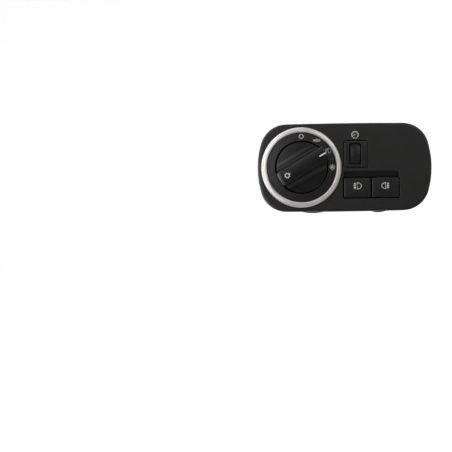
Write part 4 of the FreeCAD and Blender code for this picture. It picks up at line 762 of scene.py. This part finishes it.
@dataclass(frozen=True)
class SymbolPress:
    """Turns a symbol's strokes to a film of ink that follows the moulded face it is printed on.

    Attributes:
        ink_mm: Thickness of the ink.
        sunk_mm: How far the ink reaches into the face, so that no gap shows.
        cap_steps: Edges in a stroke's round end.
        mitre: Most that a bend widens a stroke, as a multiple.
        weld_mm: Strips' corners nearer than this become one.
        reach_m: How far in front of the faces a print starts.
    """

    ink_mm: float = 0.035
    sunk_mm: float = 0.03
    cap_steps: int = 6
    mitre: float = 2.0
    weld_mm: float = 1e-5
    reach_m: float = 0.2

    def ribbon(self, mesh: bmesh.types.BMesh, stroke: Stroke) -> None:
        """Adds one stroke as a closed strip with round ends.

        Args:
            mesh: Mesh being built, in millimetres, X across and Z up.
            stroke: The stroke.
        """
        half = stroke.width / 2
        points = [Vector((x, 0.0, z)) for x, z in stroke.points]
        start, end = points[0], points[-1]
        if stroke.closed:
            around = [end, *points, start]
        else:
            around = [2 * start - points[1], *points, 2 * end - points[-2]]
        left, right = [], []
        for before, here, after in zip(around, points, around[2:]):
            first, second = (here - before).normalized(), (after - here).normalized()
            along = (first + second).normalized()
            side = Vector((-along.z, 0.0, along.x))
            side *= half / max(side.dot(Vector((-first.z, 0.0, first.x))), 1 / self.mitre)
            left.append(here + side)
            right.append(here - side)
        if stroke.closed:
            for outline in zip(left, right, right[1:] + right[:1], left[1:] + left[:1]):
                self.tile(mesh, outline)
            return
        back, ahead = (start - points[1]).normalized() * half, (end - points[-2]).normalized() * half
        cap = [math.pi * k / self.cap_steps for k in range(1, self.cap_steps)]
        ring = [end - (right[-1] - end) * math.cos(t) + ahead * math.sin(t) for t in cap]
        ring += reversed(right)
        ring += [start - (left[0] - start) * math.cos(t) + back * math.sin(t) for t in cap]
        ring += left
        self.tile(mesh, ring)

    def tile(self, mesh: bmesh.types.BMesh, outline: Sequence[Vector]) -> None:
        """Adds a closed flat prism on an outline.

        Args:
            mesh: Mesh being built.
            outline: Its corners in order.
        """
        front = [mesh.verts.new((p.x, -self.ink_mm, p.z)) for p in outline]
        rear = [mesh.verts.new((p.x, self.sunk_mm, p.z)) for p in outline]
        mesh.faces.new(front)
        mesh.faces.new(list(reversed(rear)))
        for near, far, far_rear, near_rear in zip(front, front[1:] + front[:1], rear[1:] + rear[:1], rear):
            mesh.faces.new((far, near, near_rear, far_rear))

    def print_on(self, symbol: LampSymbol, carrier: Piece, place: Point) -> Piece:
        """Makes the printed piece, named for its symbol, on the driver's side of a moulding.

        Args:
            symbol: The symbol.
            carrier: The moulding that is printed on.
            place: Middle of the symbol, across and up, in metres.

        Returns:
            The new object.
        """
        mesh = bmesh.new()
        for stroke in symbol.value:
            self.ribbon(mesh, stroke)
        bmesh.ops.remove_doubles(mesh, verts=mesh.verts, dist=self.weld_mm)
        bmesh.ops.recalc_face_normals(mesh, faces=mesh.faces)
        mesh.transform(Matrix.Translation((place[0], 0.0, place[1])) @ Matrix.Diagonal((MM, MM, MM, 1.0)))
        self.lay(mesh, carrier)
        name = f"symbol_{symbol.name.lower()}"
        data = bpy.data.meshes.new(name)
        mesh.to_mesh(data)
        mesh.free()
        return add_object(name, data)

    def lay(self, mesh: bmesh.types.BMesh, carrier: Piece) -> None:
        """Moves a flat print back onto a crowned face.

        Args:
            mesh: The print, flat at Y = 0.
            carrier: The moulding that it lands on.
        """
        skin = bmesh.new()
        skin.from_mesh(carrier.data)
        tree = BVHTree.FromBMesh(skin)
        skin.free()
        for vertex in mesh.verts:
            above = Vector((vertex.co.x, -self.reach_m, vertex.co.z))
            landed = tree.ray_cast(above, Vector((0.0, 1.0, 0.0)))[0]
            vertex.co.y += landed.y


@dataclass
class SubAssembly:
    """A group of pieces that share a wardrobe and a symbol press.

    Attributes:
        nodes: The CAD nodes by name.
        joints: The frame's joints by name.
        wardrobe: Where finishes come from.
        press: What prints symbols.
    """

    nodes: dict[str, Piece]
    joints: dict[str, dict[str, Any]]
    wardrobe: Wardrobe
    press: SymbolPress

    FINISHES = {}  # finishes of the CAD nodes that show as they are

    def build(self) -> None:
        """Dresses the CAD nodes."""
        for name, finish in self.FINISHES.items():
            self.wardrobe.dress(self.nodes[name], finish)

    def stand_in(self, node: str, name: str, finish: Finish, slot: str, body: str) -> Piece:
        """Shows a copy of a CAD node, whose form may change, in its place.

        Args:
            node: CAD node.
            name: The copy's name.
            finish: Its finish.
            slot: Its material slot. Not used.
            body: CAD body that carries it.

        Returns:
            The copy.
        """
        data = self.nodes[node].data.copy()
        data.name = name
        piece = add_object(name, data)
        self.wardrobe.dress(piece, finish)
        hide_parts(node)
        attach(piece, body)
        return piece

    def print_symbol(
        self, symbol: LampSymbol, carrier: Piece, place: Point, body: str, ink: Finish = Finish.WHITE_INK,
    ) -> None:
        """Prints one symbol and lets it ride on a body.

        Args:
            symbol: The symbol.
            carrier: The moulding that is printed on.
            place: Its middle, across and up, in metres.
            body: CAD body that carries it.
            ink: The ink.
        """
        piece = self.press.print_on(symbol, carrier, place)
        self.wardrobe.dress(piece, ink)
        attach(piece, body)


@dataclass
class LampDial(SubAssembly):
    """Panel, silver ring and dial, with the four symbols round the knob.

    Attributes:
        marks: Each symbol's angle from the right, anticlockwise, its radius in millimetres and its ink.
    """

    FINISHES = {
        "bezel_panel": Finish.GRAINED_ABS,
        "trim_ring": Finish.RING_PAINT,
        "dial_plate": Finish.DIAL_PC,
        "dial_light_guide": Finish.GUIDE_PMMA,
    }
    marks: tuple[tuple[LampSymbol, float, float, Finish], ...] = (
        (LampSymbol.OFF, 90.0, 23.1, Finish.WHITE_INK),
        (LampSymbol.SIDE_LIGHTS, 60.0, 23.1, Finish.THIN_INK),
        (LampSymbol.DIPPED_BEAM, 31.2, 23.4, Finish.GREY_INK),
        (LampSymbol.AUTOMATIC, 0.0, 23.0, Finish.THIN_INK),
    )

    def build(self) -> None:
        """Dresses the front and prints the dial."""
        super().build()
        low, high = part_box("dial_plate")
        middle = ((low.x + high.x) / 2, (low.z + high.z) / 2)
        for symbol, angle, radius_mm, ink in self.marks:
            reach, turn = radius_mm * MM, math.radians(angle)
            place = (middle[0] + reach * math.cos(turn), middle[1] + reach * math.sin(turn))
            self.print_symbol(symbol, self.nodes["dial_plate"], place, "housing", ink)


@dataclass
class LampKnob(SubAssembly):
    """The rotary knob with its pointer and the lamp symbol on the tail of its bar.

    The real bar's ends lean in towards its crest, so the knob and its pointer are shown as drawn-in copies.

    Attributes:
        symbol_radius_mm: Knob's axis to the symbol's middle.
        pointer_angle: Direction of the pointer at rest, in degrees from the right, anticlockwise.
        straight_mm: Knob's axis to where the lean begins.
        lean: Share by which the rest of the bar is shorter at its crest.
    """

    symbol_radius_mm: float = 13.6
    pointer_angle: float = 30.0
    straight_mm: float = 12.0
    lean: float = 0.1

    def build(self) -> None:
        """Dresses the knob and prints its symbol."""
        knob = self.stand_in("knob", "leaning_knob", Finish.KNOB_ABS, "knob_plastic", "knob")
        pointer = self.stand_in("knob_pointer", "leaning_pointer", Finish.POINTER_PC, "white_insert", "knob")
        for piece in (knob, pointer):
            self.draw_in(piece.data)
        turn = math.radians(self.pointer_angle)
        reach = self.symbol_radius_mm * MM
        place = (self.joints["knob_turn"]["pos_m"][0] - reach * math.cos(turn), -reach * math.sin(turn))
        self.print_symbol(LampSymbol.ALL_LAMPS, knob, place, "knob")

    def draw_in(self, data: bpy.types.Mesh) -> None:
        """Leans the ends of the bar in, and turns the normals with them.

        Args:
            data: Mesh of the knob or its pointer.
        """
        axis = Vector((self.joints["knob_turn"]["pos_m"][0], 0.0, 0.0))
        turn = math.radians(self.pointer_angle)
        along = Vector((math.cos(turn), 0.0, math.sin(turn)))
        foot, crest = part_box("dial_plate")[0].y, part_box("knob")[0].y
        start = self.straight_mm * MM
        places = [vertex.co.copy() for vertex in data.vertices]
        normals = [Vector(normal.vector) for normal in data.corner_normals]

        def slopes(point: Vector) -> tuple[float, float, float]:
            """Works out how the lean moves a point.

            Args:
                point: Its place before.

            Returns:
                Its shift along the bar, the stretch there along the bar, and the change of the shift with depth.
            """
            reach = (point - axis).dot(along)
            rise = (foot - point.y) / (foot - crest)
            past = abs(reach) - start
            if past <= 0 or rise <= 0:
                return 0.0, 1.0, 0.0
            side = math.copysign(1.0, reach)
            return -side * past * self.lean * rise, 1.0 - self.lean * rise, side * past * self.lean / (foot - crest)

        for loop in data.loops:
            _, stretch, skew = slopes(places[loop.vertex_index])
            normal = normals[loop.index]
            level = normal.dot(along)
            normal += along * (level / stretch - level)
            normal.y -= skew / stretch * level
            normal.normalize()
        for vertex, point in zip(data.vertices, places):
            vertex.co = point + along * slopes(point)[0]
        data.normals_split_custom_set(normals)


@dataclass
class DimmerUnit(SubAssembly):
    """The dimmer's bezel, thumbwheel, axle and potentiometer, and the symbol above it.

    Attributes:
        symbol_rise_mm: Top of the bezel's flange to the symbol's middle.
        symbol_shift_mm: Middle of the wheel to the symbol's middle, to the right.
    """

    FINISHES = {
        "dimmer_bezel": Finish.BUTTON_ABS,
        "dimmer_wheel": Finish.WHEEL_PA,
        "dimmer_axle": Finish.ZINC_STEEL,
        "dimmer_potentiometer": Finish.CHIP_EPOXY,
    }
    symbol_rise_mm: float = 2.6
    symbol_shift_mm: float = 0.05

    def build(self) -> None:
        """Dresses the unit and prints its symbol on the panel."""
        super().build()
        low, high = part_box("dimmer_wheel")
        across = (low.x + high.x) / 2 + self.symbol_shift_mm * MM
        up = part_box("dimmer_bezel")[1].z + self.symbol_rise_mm * MM
        self.print_symbol(LampSymbol.DIMMER, self.nodes["bezel_panel"], (across, up), "housing")


@dataclass
class FogButtons(SubAssembly):
    """The two fog lamp buttons, their domes and their symbols.

    Attributes:
        symbol_height_mm: Height of the symbols' middle in the frame.
        dome_clearance_mm: Stem's end to the dome.
    """

    FINISHES = {"front_fog_button": Finish.BUTTON_ABS, "rear_fog_button": Finish.BUTTON_ABS}
    symbol_height_mm: float = -14.35
    dome_clearance_mm: float = 0.05

    def build(self) -> None:
        """Dresses the buttons and prints their symbols."""
        super().build()
        for side, symbol in (("front", LampSymbol.FRONT_FOG), ("rear", LampSymbol.REAR_FOG)):
            self.soft_dome(side)
            node = f"{side}_fog_button"
            low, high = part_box(node)
            place = ((low.x + high.x) / 2, self.symbol_height_mm * MM)
            self.print_symbol(symbol, self.nodes[node], place, f"{side}_fog")

    def soft_dome(self, side: str) -> None:
        """Shows a copy of a dome in the place of its CAD node.

        Args:
            side: Which button, front or rear.
        """
        node, joint = f"{side}_fog_dome", self.joints[f"{side}_fog_push"]
        dome = self.stand_in(node, f"{side}_soft_dome", Finish.SILICONE, "silicone", "housing")
        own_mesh(dome)


@dataclass
class SwitchWorks(SubAssembly):
    """Everything between the face and the housing: carrier, rotor, detent, board and its parts."""

    FINISHES = {
        "switch_carrier": Finish.CARRIER_PBT,
        "rotor": Finish.ROTOR_POM,
        "wiper_contacts": Finish.GILT_BRONZE,
        "detent_spring": Finish.SPRING_STEEL,
        "circuit_board": Finish.BOARD_FR4,
        "contact_tracks": Finish.GILT_BRONZE,
        "board_leds": Finish.LAMP_CERAMIC,
        "control_chip": Finish.CHIP_EPOXY,
        "board_capacitors": Finish.CAN_ALUMINIUM,
        "board_resistors": Finish.RESISTOR_CERAMIC,
        "pin_header": Finish.HEADER_PBT,
        "connector_pins": Finish.TINNED_BRASS,
        "board_screws": Finish.ZINC_STEEL,
    }


@dataclass
class RearHousing(SubAssembly):
    """The black housing behind the dashboard, with its screws and spring clips."""

    FINISHES = {
        "rear_housing": Finish.HOUSING_PA,
        "housing_screws": Finish.ZINC_STEEL,
        "upper_clips": Finish.SPRING_STEEL,
    }


@dataclass(frozen=True)
class Softbox:
    """A soft rectangular lamp that faces the switch.

    Attributes:
        name: Lamp's name.
        polar: Angle off the line from the switch towards the driver, in degrees.
        azimuth: Angle about that line, in degrees anticlockwise from the right.
        distance_mm: How far away it stands.
        tall_mm: Size along the azimuth.
        wide_mm: Size across it.
        level: Brightness, where 1 is a white card in plain light.
    """

    name: str
    polar: float
    azimuth: float
    distance_mm: float
    tall_mm: float
    wide_mm: float
    level: float

    def build(self) -> None:
        """Adds the lamp."""
        polar, azimuth = math.radians(self.polar), math.radians(self.azimuth)
        away = Vector((math.sin(polar) * math.cos(azimuth), -math.cos(polar), math.sin(polar) * math.sin(azimuth)))
        along = Vector((-math.sin(azimuth), 0.0, math.cos(azimuth)))
        data = bpy.data.lights.new(self.name, "AREA")
        data.shape = "RECTANGLE"
        data.size, data.size_y = self.tall_mm * MM, self.wide_mm * MM
        data.energy = self.level * math.pi * data.size * data.size_y
        lamp = add_object(self.name, data)
        lamp.location = away * self.distance_mm * MM
        lamp.rotation_euler = Matrix((along, away.cross(along), away)).transposed().to_euler()
        LOG.info("lamp %s", self.name)


@dataclass(frozen=True)
class Sweep:
    """White paper that starts behind the object as its floor and curves up to the backdrop.

    Attributes:
        floor_mm: Height of the floor.
        front_mm: Where the floor starts, behind the face.
        back_mm: Where the backdrop stands.
        bend_mm: Radius of the bend between them.
        half_mm: Half the paper's width.
        top_mm: Height of the backdrop's top.
        steps: Facets in the bend.
        glow: Brightness that the eye, metal and glass see besides the lamps' light.
        colour: Colour of the paper.
        roughness: Roughness of the paper.
    """

    floor_mm: float = -320.0
    front_mm: float = 200.0
    back_mm: float = 1400.0
    bend_mm: float = 500.0
    half_mm: float = 5000.0
    top_mm: float = 4000.0
    steps: int = 12
    glow: float = 0.85
    colour: str = "#f8f8f8"
    roughness: float = 0.9

    def build(self) -> None:
        """Makes the floor and backdrop in one sheet."""
        flat_end = self.back_mm - self.bend_mm
        profile = [(self.front_mm, self.floor_mm), (flat_end, self.floor_mm)]
        for i in range(1, self.steps + 1):
            turn = math.pi / 2 * i / self.steps
            rise = self.bend_mm * (1 - math.cos(turn))
            profile.append((flat_end + self.bend_mm * math.sin(turn), self.floor_mm + rise))
        profile.append((self.back_mm, self.top_mm))
        mesh = bmesh.new()
        ends = (-self.half_mm, self.half_mm)
        rows = [[mesh.verts.new((x * MM, y * MM, z * MM)) for x in ends] for y, z in profile]
        for near, far in zip(rows, rows[1:]):
            mesh.faces.new((near[0], near[1], far[1], far[0])).smooth = True
        data = bpy.data.meshes.new("white_sweep")
        mesh.to_mesh(data)
        mesh.free()
        sweep = add_object("white_sweep", data)
        data.materials.append(self.paper())

    def paper(self) -> Material:
        """Makes the white paper.

        Returns:
            The material.
        """
        material, tree, shader = new_material("white_sweep_paper")
        seen = rays_of(tree, "Is Camera Ray", "Is Glossy Ray", "Is Transmission Ray")
        glow = add_node(tree, "Math", {0: seen, 1: self.glow}, operation="MULTIPLY")
        feed(tree, shader, {
            "Base Color": linear(self.colour), "Roughness": self.roughness, "Emission Color": WHITE,
            "Emission Strength": glow,
        })
        return material


@dataclass(frozen=True)
class Room:
    """The world round the switch: dim on the driver's side, bright behind.

    Attributes:
        colour: Colour of the walls.
        front: Brightness on the driver's side.
        rear: Brightness behind the switch.
        turn: Y of a direction where one brightness starts and ends turning to the other.
        behind: Y of a direction from where a mirror shows the white backdrop.
    """

    colour: str = "#fffdf9"
    front: float = 0.03
    rear: float = 0.75
    turn: tuple[float, float] = (-0.1, 0.5)
    behind: float = 0.25

    def build(self) -> None:
        """Makes the world, which is white behind the object to the eye, to metal and to glass."""
        world = bpy.data.worlds.new("studio")
        bpy.context.scene.world = world
        world.use_nodes = True
        tree = world.node_tree
        tree.nodes.clear()
        way = add_node(tree, "TexCoord").outputs["Generated"]
        back = add_node(tree, "SeparateXYZ", {"Vector": way}).outputs["Y"]
        start, end = self.turn
        level = add_node(
            tree, "MapRange",
            {"Value": back, "From Min": start, "From Max": end, "To Min": self.front, "To Max": self.rear},
            interpolation_type="SMOOTHSTEP",
        )
        room = add_node(tree, "Background", {"Color": linear(self.colour), "Strength": level})
        white = add_node(tree, "Background", {"Color": WHITE, "Strength": 1.0})
        behind = add_node(tree, "Math", {0: back, 1: self.behind}, operation="GREATER_THAN")
        mirrored = rays_of(tree, "Is Glossy Ray", "Is Transmission Ray")
        backdrop = add_node(tree, "Math", {0: mirrored, 1: behind}, operation="MULTIPLY")
        seen = add_node(tree, "Math", {0: rays_of(tree, "Is Camera Ray"), 1: backdrop}, operation="MAXIMUM")
        mixed = add_node(tree, "MixShader", {0: seen, 1: room, 2: white})
        add_node(tree, "OutputWorld", {"Surface": mixed})


@dataclass(frozen=True)
class Camera:
    """The camera, read from the perspective of the knob, the ring and the panel's edges.

    Attributes:
        place_mm: Where it stands.
        roll: Its turn about its own line of sight, in degrees.
        view_mm: Width of the view at the face.
        distance_mm: Distance at which that width is measured.
        sensor_mm: Width of the sensor.
        clip_m: Nearest and furthest distance that shows.
    """

    place_mm: Corner = (-90.07, -508.0, -43.0)
    roll: float = 0.80
    view_mm: float = 339.4
    distance_mm: float = 500.0
    sensor_mm: float = 36.0
    clip_m: Point = (0.01, 20.0)

    def build(self) -> None:
        """Places the camera."""
        data = bpy.data.cameras.new("camera")
        data.sensor_width = self.sensor_mm
        data.lens = self.sensor_mm * self.distance_mm / self.view_mm
        data.clip_start, data.clip_end = self.clip_m
        camera = add_object("camera", data)
        roll = Matrix.Rotation(math.radians(self.roll), 4, "Y")
        level = Matrix.Rotation(math.radians(90), 4, "X")
        camera.matrix_world = Matrix.Translation(Vector(self.place_mm) * MM) @ roll @ level
        bpy.context.scene.camera = camera


@dataclass(frozen=True)
class Studio:
    """White floor and backdrop, soft light that comes mainly from the left, and the camera.

    Attributes:
        softboxes: The lamps. Those named for walls shade the ring as a real room does.
    """

    softboxes: tuple[Softbox, ...] = (
        Softbox("window_left", 38, 162, 650, 750, 500, 2.36),
        Softbox("fill_right", 56, 42, 650, 500, 350, 2.6),
        Softbox("wall_right", 62, 330, 650, 400, 400, 0.6),
        Softbox("wall_low", 78, 290, 650, 400, 400, 0.45),
        Softbox("wall_lower_left", 62, 225, 650, 400, 400, 1.55),
        Softbox("wall_upper_left", 94, 145, 650, 600, 400, 2.0),
        Softbox("wall_left", 106, 195, 650, 400, 400, 3.8),
        Softbox("wall_top", 108, 105, 650, 400, 400, 1.8),
        Softbox("rear_top", 140, 70, 800, 500, 500, 1.6),
    )

    def build(self) -> None:
        """Builds the studio."""
        for part in (Camera(), Room(), Sweep(), *self.softboxes):
            part.build()
        bpy.context.scene.view_settings.view_transform = "Standard"


def main() -> None:
    """Loads the frame, dresses the switch, builds the studio and notes both sizes."""
    logging.basicConfig(level=logging.INFO, format="%(name)s %(message)s")
    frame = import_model()
    joints = {joint["name"]: joint for joint in frame["joints"]}
    wardrobe, press = Wardrobe(), SymbolPress()
    for kind in (LampDial, LampKnob, DimmerUnit, FogButtons, SwitchWorks, RearHousing):
        kind(frame["nodes"], joints, wardrobe, press).build()
    Studio().build()
    LOG.info("dressed %d nodes with %d finishes", len(frame["nodes"]), len(wardrobe.made))


if __name__ == "__main__":
    main()
